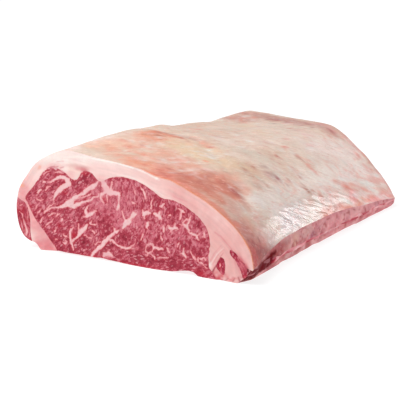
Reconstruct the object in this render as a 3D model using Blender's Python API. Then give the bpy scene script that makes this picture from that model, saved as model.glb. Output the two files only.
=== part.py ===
"""A boneless beef striploin, trimmed and cut square at both ends, lying on its bone side.

The loin runs along Y: the rib-end cut face looks along -Y and the hip end along +Y. The chine side is at -X
and the thin tail side at +X. +Z is up, and the origin is the middle of the base.

The loin is one long form, the trunk. Each lean muscle that shows on the cut face runs through the trunk from
end to end, and the fat is what is left of the trunk around the muscles.
"""

import math

import bmesh
import bpy
import numpy as np

MM = 0.001

# Driving sizes
LENGTH = 329 * MM  # cut face to cut face
SEAM_GAP = 0.3 * MM  # clearance between a muscle and the fat around it
BACK_SCALE = 0.94  # height of the hip end against the rib end
BACK_NARROWING = 0.90  # width of the muscles at the hip end against the rib end
BACK_SHIFT = -6 * MM  # the muscles move this far towards the chine at the hip end

# Grid of the trunk: rings along its length, and points on each ring's four sides
RINGS = 30
LEFT_POINTS = 10
TOP_POINTS = 34
RIGHT_POINTS = 4
BOTTOM_POINTS = 20

# Grid of the muscles
MUSCLE_RINGS = 5
MUSCLE_OVERRUN = 8 * MM  # a muscle's cutter runs this far past each cut face
MITRE_LIMIT = 0.4  # a smaller value lets a sharp corner of a grown outline reach further

# Steps between two knots of an outline, for spacing its points evenly
CURVE_STEPS = 12

# Outline of the trunk at the rib end, as (x, z) in millimetres: the chine side going up, then the fat cap
# from the chine shoulder to the cap's lower edge
FRONT_LEFT = [(-94, 0), (-99, 5.5), (-106, 7), (-113.5, 11), (-118.2, 20), (-119.8, 32), (-119.4, 43),
              (-117, 52), (-112, 60)]
FRONT_TOP = [(-112, 60), (-99, 75.5), (-85, 84), (-69, 90.5), (-56, 91), (-36, 88.3), (-12, 86.5),
             (12, 82.8), (30, 78.5), (43, 76.3), (60, 70), (77, 62.5), (93, 52.5), (107, 40.6), (115.5, 29.5),
             (119, 20), (120, 13)]

# The same two outlines at the hip end, where the cap falls away sooner
BACK_LEFT = [(-91, 0), (-96, 5), (-102, 7), (-108, 10), (-112, 19), (-114, 30), (-114, 41), (-111.5, 50),
             (-107, 57)]
BACK_TOP = [(-107, 57), (-97, 71), (-86, 80), (-72, 86.5), (-60, 87), (-42, 85.5), (-22, 83.3), (0, 81.8),
            (20, 80.3), (34, 77), (46.5, 69.4), (58, 60), (70, 50.4), (81, 39), (91, 28.5), (99, 18),
            (104.5, 8.5)]

# Edges of the cut side of the tail, in millimetres along y: where it meets the floor, as (y, x), and the
# cap's lower edge above it, as (y, x, z)
FLOOR_EDGE = [(-164.5, 104), (-152, 110), (-115, 108), (-85, 105.8), (-20, 103.6), (54, 103), (110, 101.3),
              (150, 101.5), (164.5, 100.5)]
CAP_EDGE = [(-164.5, 120, 13), (-150, 115.5, 13.3), (-133, 111, 14.3), (-116, 108.5, 16.8), (-88, 106, 20.5),
            (-44, 104.3, 21.7), (20, 103, 21.3), (55, 102.8, 19), (94, 101.8, 14.5), (130, 102.5, 12.5),
            (164.5, 104.5, 8.5)]
EDGE_REACH = 0.45  # share of the cap's width that follows its lower edge
TAIL_BOW = 1.2 * MM  # the cut side of the tail stands out this much halfway up

# Broad swells and hollows of the cap: x, y, height, radius along x, radius along y, in millimetres
SWELLS = [(-62, -72, 8.0, 60, 62), (-60, 92, -5.0, 45, 34), (35, -10, 2.0, 50, 60), (62, 70, 2.5, 30, 45),
          (10, -120, -1.5, 40, 22), (52, -118, -1.5, 28, 18), (-20, 40, 2.0, 40, 45)]

# Ribs' imprints: shallow troughs across the bone side, which leave the loin resting on the flats between
RIB_PITCH = 62 * MM
RIB_DEPTH = 3.0 * MM
RIB_FLATS = 0.45  # the higher this is, the wider the flats between the troughs
RIB_SLANT = 0.25  # the troughs run this far along Y for each step along X
RIB_REACH = 70 * MM  # the troughs fade out this far from the middle
RIB_CLEAR = 14 * MM  # the troughs fade out this close to the cut faces

# Notch in the bottom edge of the rib end, where the eye ends and the tail steps down to the floor
NOTCH_HEIGHT = 3.4 * MM
NOTCH_AT = 57 * MM
NOTCH_HALF_WIDTH = 8 * MM
NOTCH_REACH = 26 * MM

# Muscles on the rib-end cut face, as closed (x, z) outlines in millimetres, clockwise from the lower left.
# Points below zero reach past the floor, and points beyond the side pass through it.
LOIN_EYE = [(-74, -8), (-76, 2), (-84, 11), (-93, 20), (-101, 29), (-107, 39.5), (-110, 46), (-103.5, 53.5),
            (-94, 63.5), (-88, 71), (-80, 75), (-70, 74.6), (-63, 72), (-58.5, 67.5), (-52, 67.8), (-47.5, 74),
            (-42, 76), (-36, 74.3), (-31, 69.6), (-26.5, 68.6), (-19, 72), (-8, 74.6), (6, 73.4), (16, 70.6),
            (27, 65), (35.5, 61), (46, 60.5), (58, 56.2), (68, 50.6), (75.5, 43), (79, 34.5), (79.6, 27),
            (78.4, 17), (78.6, 10), (75, -8)]
CHINE_STRIP = [(-112, -4), (-124, 4), (-132, 24), (-122, 40), (-112.5, 37.6), (-107.8, 33), (-105.4, 25.5),
               (-105.6, 14), (-104, 3)]
TAIL_STRIP_INNER = [(92, 4.9), (88, 7.8), (85.4, 11.6), (88, 16.8), (90.3, 19.2), (93.6, 16), (94, 8)]
TAIL_STRIP_OUTER = [(113, 4.2), (110, 7.7), (108.2, 11.5), (104.5, 16.8), (100.2, 22), (98.6, 25), (99.8, 26.8),
                    (103.8, 24.2), (107.6, 20.5), (112, 17), (117.4, 12.2), (132, 10.5), (132, 3)]

# The outer tail strip keeps its place against the cap's lower edge, and thins to a sheet behind the rib
# end. This is its outline there, as if at the rib end, and where the thinning starts and ends.
TAIL_SHEET = [(124, 5.6), (120, 5.8), (117, 6.2), (114.2, 7.2), (112.6, 9.2), (112.8, 11.4), (114.2, 12.2),
              (116, 11), (118.2, 9.3), (120.6, 8.4), (125, 8), (138, 7.8), (138, 5.4)]
TAIL_SHEET_FROM = -122 * MM
TAIL_SHEET_TO = -98 * MM

FAT_COLOUR = (0.86, 0.62, 0.54, 1)
LEAN_COLOUR = (0.52, 0.11, 0.14, 1)


def clear_scene():
    for thing in list(bpy.data.objects):
        bpy.data.objects.remove(thing)


def smooth_curve(knots, count):
    """Catmull-Rom curve through the knots, at count points spaced evenly along it, in metres."""
    knots = np.array(knots, float) * MM
    padded = np.vstack([2 * knots[0] - knots[1], knots, 2 * knots[-1] - knots[-2]])
    dense = []
    for a, b, c, d in zip(padded, padded[1:], padded[2:], padded[3:]):
        t = np.linspace(0, 1, CURVE_STEPS, endpoint=False)[:, None]
        square = (2 * a - 5 * b + 4 * c - d) * t**2
        cube = (3 * b - a - 3 * c + d) * t**3
        dense.append((2 * b + (c - a) * t + square + cube) / 2)
    dense = np.vstack([*dense, knots[-1:]])
    travelled = np.concatenate([[0], np.cumsum(np.linalg.norm(np.diff(dense, axis=0), axis=1))])
    wanted = np.linspace(0, travelled[-1], count)
    return np.column_stack([np.interp(wanted, travelled, dense[:, i]) for i in (0, 1)])


def blend(front, back, share):
    return front * (1 - share) + back * share


def cap_swell(x, y):
    """Height that the broad swells and hollows add to the fat cap."""
    height = 0
    for at_x, at_y, rise, reach_x, reach_y in np.array(SWELLS) * MM:
        height = height + rise * np.exp(-(((x - at_x) / reach_x) ** 2) - ((y - at_y) / reach_y) ** 2)
    return height


def base_lift(x, y):
    """Height of the bone side above the floor. It is zero on the flats that the loin rests on."""
    trough = RIB_DEPTH * (np.cos(2 * math.pi * (y - RIB_SLANT * x) / RIB_PITCH) - RIB_FLATS)
    middle = np.exp(-((x / RIB_REACH) ** 4)) * (1 - math.exp(-(LENGTH / 2 - abs(y)) / RIB_CLEAR))
    notch = NOTCH_HEIGHT * np.exp(-(((x - NOTCH_AT) / NOTCH_HALF_WIDTH) ** 2) - (y + LENGTH / 2) / NOTCH_REACH)
    return np.maximum(trough * middle, 0) + notch


def along(guide, y):
    """Where a guide curve, given as rows of y and then x or (x, z) in millimetres, is at y, in metres."""
    guide = np.array(guide, float) * MM
    return np.array([np.interp(y, guide[:, 0], column) for column in guide[:, 1:].T])


def trunk_ring(y):
    """The trunk's outline at y, as (x, y, z): up the chine side, over the cap, down the tail and back below."""
    share = y / LENGTH + 0.5
    left = blend(smooth_curve(FRONT_LEFT, LEFT_POINTS), smooth_curve(BACK_LEFT, LEFT_POINTS), share)
    top = blend(smooth_curve(FRONT_TOP, TOP_POINTS), smooth_curve(BACK_TOP, TOP_POINTS), share)
    across = np.linspace(0, 1, TOP_POINTS)
    near_edge = np.clip((across - 1 + EDGE_REACH) / EDGE_REACH, 0, 1)[:, None] ** 2
    top += near_edge * (along(CAP_EDGE, y) - top[-1])
    top[:, 1] += cap_swell(top[:, 0], y) * np.sin(math.pi * across) ** 0.5

    right = np.linspace([*along(FLOOR_EDGE, y), 0], top[-1], RIGHT_POINTS)
    right[:, 0] += TAIL_BOW * np.sin(np.linspace(0, math.pi, RIGHT_POINTS))
    bottom = np.linspace(right[0], left[0], BOTTOM_POINTS)
    bottom[:, 1] = base_lift(bottom[:, 0], y)
    outline = np.vstack([left[:-1], top[:-1], right[::-1][:-1], bottom[:-1]])
    return [(x, y, z) for x, z in outline]


def loft(name, rings):
    """A closed solid through rings of points, front to back, with every side split the same way."""
    count = len(rings[0])
    here = np.arange(count)
    after = (here + 1) % count
    faces = [here[::-1].tolist(), (here + count * (len(rings) - 1)).tolist()]
    for start in range(0, count * (len(rings) - 1), count):
        far = start + count
        faces += np.column_stack([start + here, start + after, far + after]).tolist()
        faces += np.column_stack([start + here, far + after, far + here]).tolist()
    mesh = bpy.data.meshes.new(name)
    mesh.from_pydata(np.vstack(rings).tolist(), [], faces)
    shape = bmesh.new()
    shape.from_mesh(mesh)
    bmesh.ops.recalc_face_normals(shape, faces=shape.faces)
    shape.to_mesh(mesh)
    shape.free()
    solid = bpy.data.objects.new(name, mesh)
    bpy.context.scene.collection.objects.link(solid)
    return solid


def grown(outline, by):
    """The closed outline moved outwards by a distance, each corner along the mean of its two sides' normals."""
    before = outline - np.roll(outline, 1, axis=0)
    after = np.roll(outline, -1, axis=0) - outline
    normals = []
    for side in (before, after):
        normal = np.column_stack([-side[:, 1], side[:, 0]])
        normals.append(normal / np.linalg.norm(normal, axis=1, keepdims=True))
    mean = normals[0] + normals[1]
    length = np.linalg.norm(mean, axis=1, keepdims=True)
    stretch = 2 / np.maximum(length**2, MITRE_LIMIT)
    return outline + by * mean * stretch


def muscle_outline(knots, y, grow):
    """A muscle's outline at y: the rib-end outline, narrowed and lowered evenly towards the hip end."""
    share = y / LENGTH + 0.5
    outline = np.array(knots, float) * MM
    outline[:, 0] = outline[:, 0] * (1 - (1 - BACK_NARROWING) * share) + BACK_SHIFT * share
    outline[:, 1] *= 1 - (1 - BACK_SCALE) * share
    return grown(outline, grow)


def tail_sheet_outline(knots, y, grow):
    """The outer tail strip's outline at y: thick at the rib end, and a thin sheet behind TAIL_SHEET_TO."""
    thinned = np.clip((y - TAIL_SHEET_FROM) / (TAIL_SHEET_TO - TAIL_SHEET_FROM), 0, 1)
    outline = blend(np.array(knots, float), np.array(TAIL_SHEET, float), thinned) * MM
    outline[:, 0] += along(CAP_EDGE, y)[0] - CAP_EDGE[0][1] * MM
    return grown(outline, grow)


def muscle_solid(name, knots, outline_at, stations, grow=0.0):
    """A muscle as a solid that runs past both cut faces."""
    rings = []
    for y in stations:
        inside = np.clip(y, -LENGTH / 2, LENGTH / 2)
        rings.append([(x, y, z) for x, z in outline_at(knots, inside, grow)])
    return loft(name, rings)


def helper(thing):
    """Keeps a cutter out of the finished part."""
    thing.hide_render = True
    thing.display_type = "WIRE"
    return thing


def combine(thing, operation, other):
    cut = thing.modifiers.new(f"{operation.lower()}_{other.name}", "BOOLEAN")
    cut.operation = operation
    cut.object = other


def finish(thing, colour, roughness):
    material = bpy.data.materials.new(thing.name)
    material.use_nodes = True
    shader = material.node_tree.nodes["Principled BSDF"]
    shader.inputs["Base Color"].default_value = colour
    shader.inputs["Roughness"].default_value = roughness
    thing.data.materials.append(material)


def trunk(name):
    return loft(name, [trunk_ring(y) for y in np.linspace(-LENGTH / 2, LENGTH / 2, RINGS)])


def build():
    clear_scene()
    ends = LENGTH / 2 + MUSCLE_OVERRUN
    even = [-ends, *np.linspace(-LENGTH / 2, LENGTH / 2, MUSCLE_RINGS), ends]
    tail = sorted([-ends, *(row[0] * MM for row in CAP_EDGE), TAIL_SHEET_FROM, TAIL_SHEET_TO, ends])
    muscles = [
        ("loin_eye", LOIN_EYE, muscle_outline, even),
        ("chine_strip", CHINE_STRIP, muscle_outline, even),
        ("tail_strip_inner", TAIL_STRIP_INNER, muscle_outline, even),
        ("tail_strip_outer", TAIL_STRIP_OUTER, tail_sheet_outline, tail),
    ]
    limits = helper(trunk("trunk_limits"))
    fat = trunk("fat_cap")
    finish(fat, FAT_COLOUR, 0.45)
    for name, knots, outline_at, stations in muscles:
        lean = muscle_solid(name, knots, outline_at, stations)
        combine(lean, "INTERSECT", limits)
        finish(lean, LEAN_COLOUR, 0.4)
        room = helper(muscle_solid(f"room_{name}", knots, outline_at, stations, SEAM_GAP))
        combine(fat, "DIFFERENCE", room)


build()
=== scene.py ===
"""Looks of a raw beef striploin that lies on its bone side, with its rib-end cut face towards the viewer.

Lengths in the shape functions are in millimetres: x from the chine side to the tail side, y from the rib
end to the hip end, and z up from the surface that the loin lies on.
"""

import math

import bpy
import numpy as np
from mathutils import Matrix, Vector


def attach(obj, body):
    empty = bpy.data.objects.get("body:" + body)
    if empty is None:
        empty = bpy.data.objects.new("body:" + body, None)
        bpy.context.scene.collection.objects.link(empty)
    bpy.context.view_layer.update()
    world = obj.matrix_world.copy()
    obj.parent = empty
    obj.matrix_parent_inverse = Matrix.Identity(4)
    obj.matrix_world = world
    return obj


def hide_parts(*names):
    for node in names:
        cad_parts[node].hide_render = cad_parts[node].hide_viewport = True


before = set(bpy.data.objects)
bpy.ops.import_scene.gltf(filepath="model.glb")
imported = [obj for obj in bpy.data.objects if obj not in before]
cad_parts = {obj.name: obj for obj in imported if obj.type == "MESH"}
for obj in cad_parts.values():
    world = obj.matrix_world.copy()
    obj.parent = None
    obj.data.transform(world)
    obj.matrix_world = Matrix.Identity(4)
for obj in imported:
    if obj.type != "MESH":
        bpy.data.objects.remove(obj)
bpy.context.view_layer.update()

# -------------------------------------------------------------------------------- the loin as one block
# A striploin is one long block before its muscles are told apart: 329 mm of loin under a domed fat cap, with
# a sawn chine side, a knife-cut tail side, and ribs' imprints across the side that it lies on.
MM = 0.001
RIB_END = -164.5
HIP_END = 164.5
LENGTH = HIP_END - RIB_END
OVERRUN = 5.0  # the loft runs this far past each end, for the knife to cut off
CAP_TRAVEL = 262.0  # the cap's width along its outline

# Outlines at the two ends, as (x, z): the chine side going up, then the cap from its shoulder to its edge
RIB_END_CHINE = [(-94, 0), (-99, 5.5), (-106, 7), (-113.5, 11), (-118.2, 20), (-119.8, 32), (-119.4, 43),
                 (-117, 52), (-112, 60)]
RIB_END_CAP = [(-112, 60), (-99, 75.5), (-85, 84), (-69, 90.5), (-56, 91), (-36, 88.3), (-12, 86.5),
               (12, 82.8), (30, 78.5), (43, 76.3), (60, 70), (77, 62.5), (93, 52.5), (107, 40.6),
               (115.5, 29.5), (119, 20), (120, 13)]
HIP_END_CHINE = [(-91, 0), (-96, 5), (-102, 7), (-108, 10), (-112, 19), (-114, 30), (-114, 41),
                 (-111.5, 50), (-107, 57)]
HIP_END_CAP = [(-107, 57), (-97, 71), (-86, 80), (-72, 86.5), (-60, 87), (-42, 85.5), (-22, 83.3), (0, 81.8),
               (20, 80.3), (34, 77), (46.5, 69.4), (58, 60), (70, 50.4), (81, 39), (91, 28.5), (99, 18),
               (104.5, 8.5)]

# Guides along the tail side: where it meets the floor, as (y, x), and the cap's lower edge, as (y, x, z)
FLOOR_EDGE = [(-164.5, 104), (-152, 110), (-115, 108), (-85, 105.8), (-20, 103.6), (54, 103), (110, 101.3),
              (150, 101.5), (164.5, 100.5)]
CAP_EDGE = [(-164.5, 120, 13), (-150, 115.5, 13.3), (-133, 111, 14.3), (-116, 108.5, 16.8), (-88, 106, 20.5),
            (-44, 104.3, 21.7), (20, 103, 21.3), (55, 102.8, 19), (94, 101.8, 14.5), (130, 102.5, 12.5),
            (164.5, 104.5, 8.5)]
EDGE_REACH = 0.45  # share of the cap's width that follows its lower edge
WALL_REACH = 0.125  # share of the cap's width that is pressed straight above the edge
WALL_PRESS = 0.85  # how straight it is pressed, from 0 to 1
WALL_FROM = -118.0  # the pressed stretch lies between these two y
WALL_TO = 40.0
WALL_FADE_IN = 7.0  # and sets in and dies away over about these lengths
WALL_FADE_OUT = 14.0
TAIL_BOW = 1.2

# Broad swells and hollows of the cap: x, y, radius along x, radius along y, height
SWELLS = [(-62, -72, 60, 62, 8.0), (-60, 92, 45, 34, -5.0), (35, -10, 50, 60, 2.0), (62, 70, 30, 45, 2.5),
          (10, -120, 40, 22, -1.5), (52, -118, 28, 18, -1.5), (-20, 40, 40, 45, 2.0),
          (-68, -14, 14, 13, 3.2), (-52, 24, 12, 12, -1.8)]

# Imprints of the ribs, and the notch where the eye ends and the tail steps down to the floor
RIB_PITCH = 62.0
RIB_DEPTH = 3.0
RIB_FLATS = 0.45  # the higher this is, the wider the flats between the imprints
RIB_SLANT = 0.25
RIB_REACH = 70.0
RIB_CLEAR = 14.0
NOTCH_AT = 63.0
NOTCH_HEIGHT = 3.6
NOTCH_WIDTHS = (16.0, 3.5)  # towards the chine and towards the tail
NOTCH_REACH = 26.0
END_LIFT = 1.5  # the base lifts this much at the two ends, round END_LIFT_AT
END_LIFT_AT = -48.0
END_LIFT_REACH = 48.0
END_RAGGED = 0.9

# Fine relief of the cap: the crease, a shallow fold where the membrane dips, as (x, y), and patches of
# wrinkles, as x, y, radius along x, radius along y, height
CREASE = [(-62, -46), (-38, -35), (-10, -40), (14, -58), (40, -76), (66, -97), (90, -118)]
CREASE_DEPTH = 1.1
CREASE_WIDTH = 5.5
RIDGE_HEIGHT = 0.8
RIDGE_WIDTH = 11.0
RIDGE_BEHIND = 14.0  # the soft ridge lies this far from the crease towards the hip
WRINKLES = [(102, -76, 12, 42, 0.6), (98, -10, 14, 30, 0.8), (99, 60, 12, 38, 0.7), (72, -48, 20, 26, 0.3)]
RELIEF_FADE_IN = 0.04  # shares of the cap's width over which the relief sets in and dies away
RELIEF_FADE_OUT = 0.012
LATTICE = (251, 257)  # corners of the lattice of random heights, before it repeats


def curve(knots, shares, closed=False):
    """Catmull-Rom curve through the knots, read at shares of its length. Each stretch between two knots is
    the cubic whose slope at a knot is half the step between that knot's two neighbours."""
    knots = np.array(knots, float)
    padded = np.vstack([2 * knots[0] - knots[1], knots, 2 * knots[-1] - knots[-2]])
    if closed:
        padded = np.vstack([knots[-1], knots, knots[:2]])
    t = np.linspace(0, 1, 12, endpoint=False)[:, None]
    dense = []
    for a, b, c, d in zip(padded, padded[1:], padded[2:], padded[3:]):
        square = (2 * a - 5 * b + 4 * c - d) * t**2
        cube = (3 * b - a - 3 * c + d) * t**3
        dense.append((2 * b + (c - a) * t + square + cube) / 2)
    dense = np.vstack([*dense, padded[-2:-1]])
    travelled = np.concatenate([[0], np.cumsum(np.linalg.norm(np.diff(dense, axis=0), axis=1))])
    return np.column_stack([np.interp(shares * travelled[-1], travelled, dense[:, i]) for i in (0, 1)])


def along(guide, y):
    """A guide's x, or its x and z, at each y: straight between its rows, then averaged over 12 mm of y so
    that it has no corners."""
    guide = np.array(guide, float)
    shifts = np.linspace(-6, 6, 7)
    return [np.mean([np.interp(y + shift, guide[:, 0], column) for shift in shifts], axis=0)
            for column in guide[:, 1:].T]


def uneven(u, v, size_u, size_v, seed):
    """Smooth random heights between -1 and 1. Random values stand at the corners of a lattice with cells of
    the two sizes, and are blended across each cell by smoothsteps."""
    table = np.random.default_rng(seed).uniform(-1, 1, LATTICE)
    u = u / size_u + 0 * v
    v = v / size_v + 0 * u
    i = np.floor(u).astype(int)
    j = np.floor(v).astype(int)
    share_u = (u - i) ** 2 * (3 - 2 * (u - i))
    share_v = (v - j) ** 2 * (3 - 2 * (v - j))
    left, right = i % LATTICE[0], (i + 1) % LATTICE[0]
    low, high = j % LATTICE[1], (j + 1) % LATTICE[1]
    near = table[left, low] * (1 - share_u) + table[right, low] * share_u
    far = table[left, high] * (1 - share_u) + table[right, high] * share_u
    return near * (1 - share_v) + far * share_v


def band_distance(u, v, path):
    """Distance from each point to a line through the path's rows (u, v, half width), less the line's half
    width there, which changes evenly between two rows. It is negative inside the band."""
    least = np.full(np.shape(u), 1e9)
    for (u_a, v_a, wide_a), (u_b, v_b, wide_b) in zip(path, path[1:]):
        step_u = u_b - u_a
        step_v = v_b - v_a
        share = ((u - u_a) * step_u + (v - v_a) * step_v) / (step_u**2 + step_v**2)
        share = np.clip(share, 0, 1)
        away = np.hypot(u - u_a - share * step_u, v - v_a - share * step_v)
        least = np.minimum(least, away - wide_a - share * (wide_b - wide_a))
    return least


def bells(u, v, spots):
    """The sum of bell-shaped spots, each given as u, v, radius along u, radius along v and height."""
    total = 0 * u
    for at_u, at_v, reach_u, reach_v, tall in spots:
        total = total + tall * np.exp(-(((u - at_u) / reach_u) ** 2) - ((v - at_v) / reach_v) ** 2)
    return total


def cap_relief(x, y, travel):
    """Height added to the cap, in millimetres: slow lumps, the crease as a trough of bell-shaped section
    with a soft ridge behind it, and patches of narrow folds that slant down the slope towards the hip."""
    crease = [(a, b, 0) for a, b in CREASE]
    height = 0.5 * uneven(travel, y, 34, 28, 1) + 0.2 * uneven(travel, y, 11, 9, 2)
    height = height + 0.08 * uneven(travel, y, 7, 3.2, 8)
    height = height - CREASE_DEPTH * np.exp(-((band_distance(x, y, crease) / CREASE_WIDTH) ** 2))
    ridge = band_distance(x, y - RIDGE_BEHIND, crease)
    height = height + RIDGE_HEIGHT * np.exp(-((ridge / RIDGE_WIDTH) ** 2))
    drift = y - 1.6 * travel + 7 * uneven(travel, y, 26, 40, 3)
    folds = np.abs(uneven(travel, drift, 13, 7, 4)) + 0.6 * np.abs(uneven(travel, drift, 8, 4.6, 5))
    return height + bells(x, y, WRINKLES) * folds


def block_surface(y, chine_shares, cap_shares, tail_shares, base_shares):
    """The block as a grid of rings, one for each y, of points (x, y, z). A ring blends the two end outlines,
    pulls the cap's lower part to its edge guide, presses the stretch above the edge towards a straight line
    between two smooth steps along y, lifts the cap by bell-shaped swells and adds the fine relief along the
    outline's normal. The tail side is a bowed, bumpy line. The base is a line lifted by cosine troughs, by a
    bell at the notch and by slight swells near the two ends."""
    share = (y / LENGTH + 0.5)[:, None, None]
    rows = y[:, None]
    chine = curve(RIB_END_CHINE, chine_shares) * (1 - share) + curve(HIP_END_CHINE, chine_shares) * share
    lumps = uneven(rows, 40 * chine_shares, 17, 12, 9)
    chine[..., 0] += 0.9 * lumps * np.sin(math.pi * chine_shares)

    cap = curve(RIB_END_CAP, cap_shares) * (1 - share) + curve(HIP_END_CAP, cap_shares) * share
    pull = np.clip((cap_shares - 1 + EDGE_REACH) / EDGE_REACH, 0, 1)[:, None] ** 2
    edge = np.stack(along(CAP_EDGE, y), -1)[:, None, :]
    cap = cap + pull * (edge - cap[:, -1:, :])
    top = cap[:, np.searchsorted(cap_shares, 1 - WALL_REACH)][:, None, :]
    down = np.clip((cap_shares - 1 + WALL_REACH) / WALL_REACH, 0, 1)[:, None]
    press = 1 / (1 + np.exp((WALL_FROM - rows) / WALL_FADE_IN))
    press = press / (1 + np.exp((rows - WALL_TO) / WALL_FADE_OUT))
    press = press[..., None] * (1 - (1 - down) ** 2) * WALL_PRESS
    cap = cap + (top + (cap[:, -1:, :] - top) * down - cap) * press
    arch = np.sin(math.pi * cap_shares) ** 0.5
    cap[..., 1] += bells(cap[..., 0], rows, SWELLS) * arch
    slope = np.gradient(cap, axis=1)
    outward = np.stack([-slope[..., 1], slope[..., 0]], -1)
    outward /= np.linalg.norm(outward, axis=-1, keepdims=True)
    fade = np.minimum(cap_shares / RELIEF_FADE_IN, 1) * np.minimum((1 - cap_shares) / RELIEF_FADE_OUT, 1)
    travel = cap_shares * CAP_TRAVEL + 0 * rows
    cap = cap + outward * (cap_relief(cap[..., 0], rows + 0 * travel, travel) * fade)[..., None]

    t = tail_shares
    foot = np.stack([along(FLOOR_EDGE, y)[0], 0 * y], -1)[:, None, :]
    tail = foot + (cap[:, -1:, :] - foot) * t[:, None]
    bow = TAIL_BOW + 1.1 * uneven(rows, 20 * t, 10, 8, 6) + 0.6 * uneven(rows, 20 * t, 4, 5, 11)
    tail[..., 0] += np.sin(math.pi * t) * bow
    tail[..., 1] += np.maximum(uneven(rows, 0 * t, 13, 9, 7), 0) * 1.3 * (1 - t)

    t = base_shares[:, None]
    base = tail[:, :1, :] + (chine[:, :1, :] - tail[:, :1, :]) * t
    across = base[..., 0]
    trough = RIB_DEPTH * (np.cos(2 * math.pi * (rows - RIB_SLANT * across) / RIB_PITCH) - RIB_FLATS)
    inner = np.clip(1 - np.exp(-(LENGTH / 2 - np.abs(rows)) / RIB_CLEAR), 0, 1)
    width = np.where(across < NOTCH_AT, *NOTCH_WIDTHS)
    from_notch = ((across - NOTCH_AT) / width) ** 2 + np.maximum(rows - RIB_END, 0) / NOTCH_REACH
    lift = np.maximum(trough * np.exp(-((across / RIB_REACH) ** 4)) * inner, 0)
    lift = lift + NOTCH_HEIGHT * np.exp(-from_notch)
    lift = lift + END_LIFT * np.exp(-(((across - END_LIFT_AT) / END_LIFT_REACH) ** 4)) * (1 - inner)
    lift = lift + END_RAGGED * np.maximum(uneven(rows, across, 6, 9, 10), 0) * (1 - inner)
    base[..., 1] += lift * np.minimum(5 * np.sin(math.pi * base_shares), 1)

    ring = np.concatenate([chine[:, :-1], cap[:, :-1], tail[:, ::-1][:, :-1], base[:, :-1]], axis=1)
    return np.stack([ring[..., 0], rows + 0 * ring[..., 0], ring[..., 1]], -1)


def closed_tube(name, grid, materials, material_of_column):
    """A closed mesh through a grid of rings in millimetres: quads between neighbouring rings, which take the
    material of their column, and one polygon over each end ring."""
    rings, points = grid.shape[:2]
    ids = np.arange(rings * points).reshape(rings, points)
    after = np.roll(ids, -1, axis=1)
    sides = np.stack([ids[:-1], after[:-1], after[1:], ids[1:]], -1).reshape(-1, 4)
    faces = [*sides.tolist(), ids[0, ::-1].tolist(), ids[-1].tolist()]
    slots = np.append(np.tile(material_of_column, rings - 1), [0, 0])
    return closed_mesh(name, grid.reshape(-1, 3), faces, materials, slots)


def closed_mesh(name, points, faces, materials, slots):
    """A mesh from points in millimetres. Its faces are turned round if it encloses a negative volume."""
    mesh = bpy.data.meshes.new(name)
    mesh.from_pydata((points * MM).tolist(), [], faces)
    for material in materials:
        mesh.materials.append(material)
    mesh.polygons.foreach_set("material_index", slots.astype(np.int32))
    mesh.calc_loop_triangles()
    corners = np.empty(len(mesh.loop_triangles) * 3, np.int32)
    mesh.loop_triangles.foreach_get("vertices", corners)
    a, b, c = points[corners.reshape(-1, 3)].transpose(1, 0, 2)
    if np.einsum("ij,ij->i", a, np.cross(b, c)).sum() < 0:
        mesh.flip_normals()
    thing = bpy.data.objects.new(name, mesh)
    bpy.context.scene.collection.objects.link(thing)
    return thing


# Stand-ins that tell the block's surfaces apart until each piece gets its own finishes
STAND_INS = ("skin", "trimmed", "sliced", "wall")
skin, trimmed, sliced, wall = [bpy.data.materials.new(name) for name in STAND_INS]

# The grid's columns lie closer on the cap's steep slope, past STEEP_FROM of its width, and its rings lie
# closer up to FINE_TO, nearer to the viewer
STEEP_FROM = 0.77
FINE_TO = 44.0
chine_shares = np.linspace(0, 1, 26)
cap_shares = np.linspace(0, STEEP_FROM, 100, endpoint=False)
cap_shares = np.concatenate([cap_shares, np.linspace(STEEP_FROM, 1, 58)])
stations = np.arange(RIB_END - OVERRUN, FINE_TO, 1.1)
stations = np.concatenate([stations, np.arange(FINE_TO, HIP_END + OVERRUN + 1, 2.1)])
surface = block_surface(stations, chine_shares, cap_shares, np.linspace(0, 1, 15), np.linspace(0, 1, 50))
column = np.arange(surface.shape[1])
on_cap = (column >= len(chine_shares) - 1) & (column < len(chine_shares) + len(cap_shares) - 2)
block = closed_tube("fat_cap_block", surface, [skin, trimmed], np.where(on_cap, 0, 1))

# -------------------------------------------------------------------------------- the two end cuts
# Both ends are cut square with a long knife, which leaves faint waves on the meat. Here a knife is a wide
# block with a finely gridded, waved face.
KNIFE_ACROSS = (-130, 131)  # the waved face spans these x
KNIFE_UP = (-9, 106)  # and these z
KNIFE_THICK = 30.0


def knife(name, at_y, towards, step, seed):
    """A closed block that reaches from a waved face at at_y in the direction towards. The waved face is a
    square grid over x and z whose y is a sum of three sizes of smooth random waves."""
    x, z = np.meshgrid(np.arange(*KNIFE_ACROSS, step), np.arange(*KNIFE_UP, step))
    waves = 0.6 * uneven(x, z, 47, 38, seed) + 0.22 * uneven(x, z, 12, 9, seed + 1)
    waves = waves + 0.06 * uneven(x, z, 3.1, 3.1, seed + 2)
    rows, columns = x.shape
    ids = np.arange(rows * columns).reshape(rows, columns)
    front = np.stack([ids[:-1, :-1], ids[:-1, 1:], ids[1:, 1:], ids[1:, :-1]], -1).reshape(-1, 4)
    rim = np.concatenate([ids[0, :-1], ids[:-1, -1], ids[-1, :0:-1], ids[:0:-1, 0]])
    behind = rows * columns + np.arange(len(rim))
    sides = np.stack([np.roll(rim, -1), rim, behind, np.roll(behind, -1)], -1)
    face = np.stack([x, at_y + waves, z], -1).reshape(-1, 3)
    back = face[rim] * (1, 0, 1) + (0, at_y + towards * KNIFE_THICK, 0)
    faces = [*front.tolist(), *sides.tolist(), behind[::-1].tolist()]
    return closed_mesh(name, np.vstack([face, back]), faces, [sliced], np.zeros(len(faces)))


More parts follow.
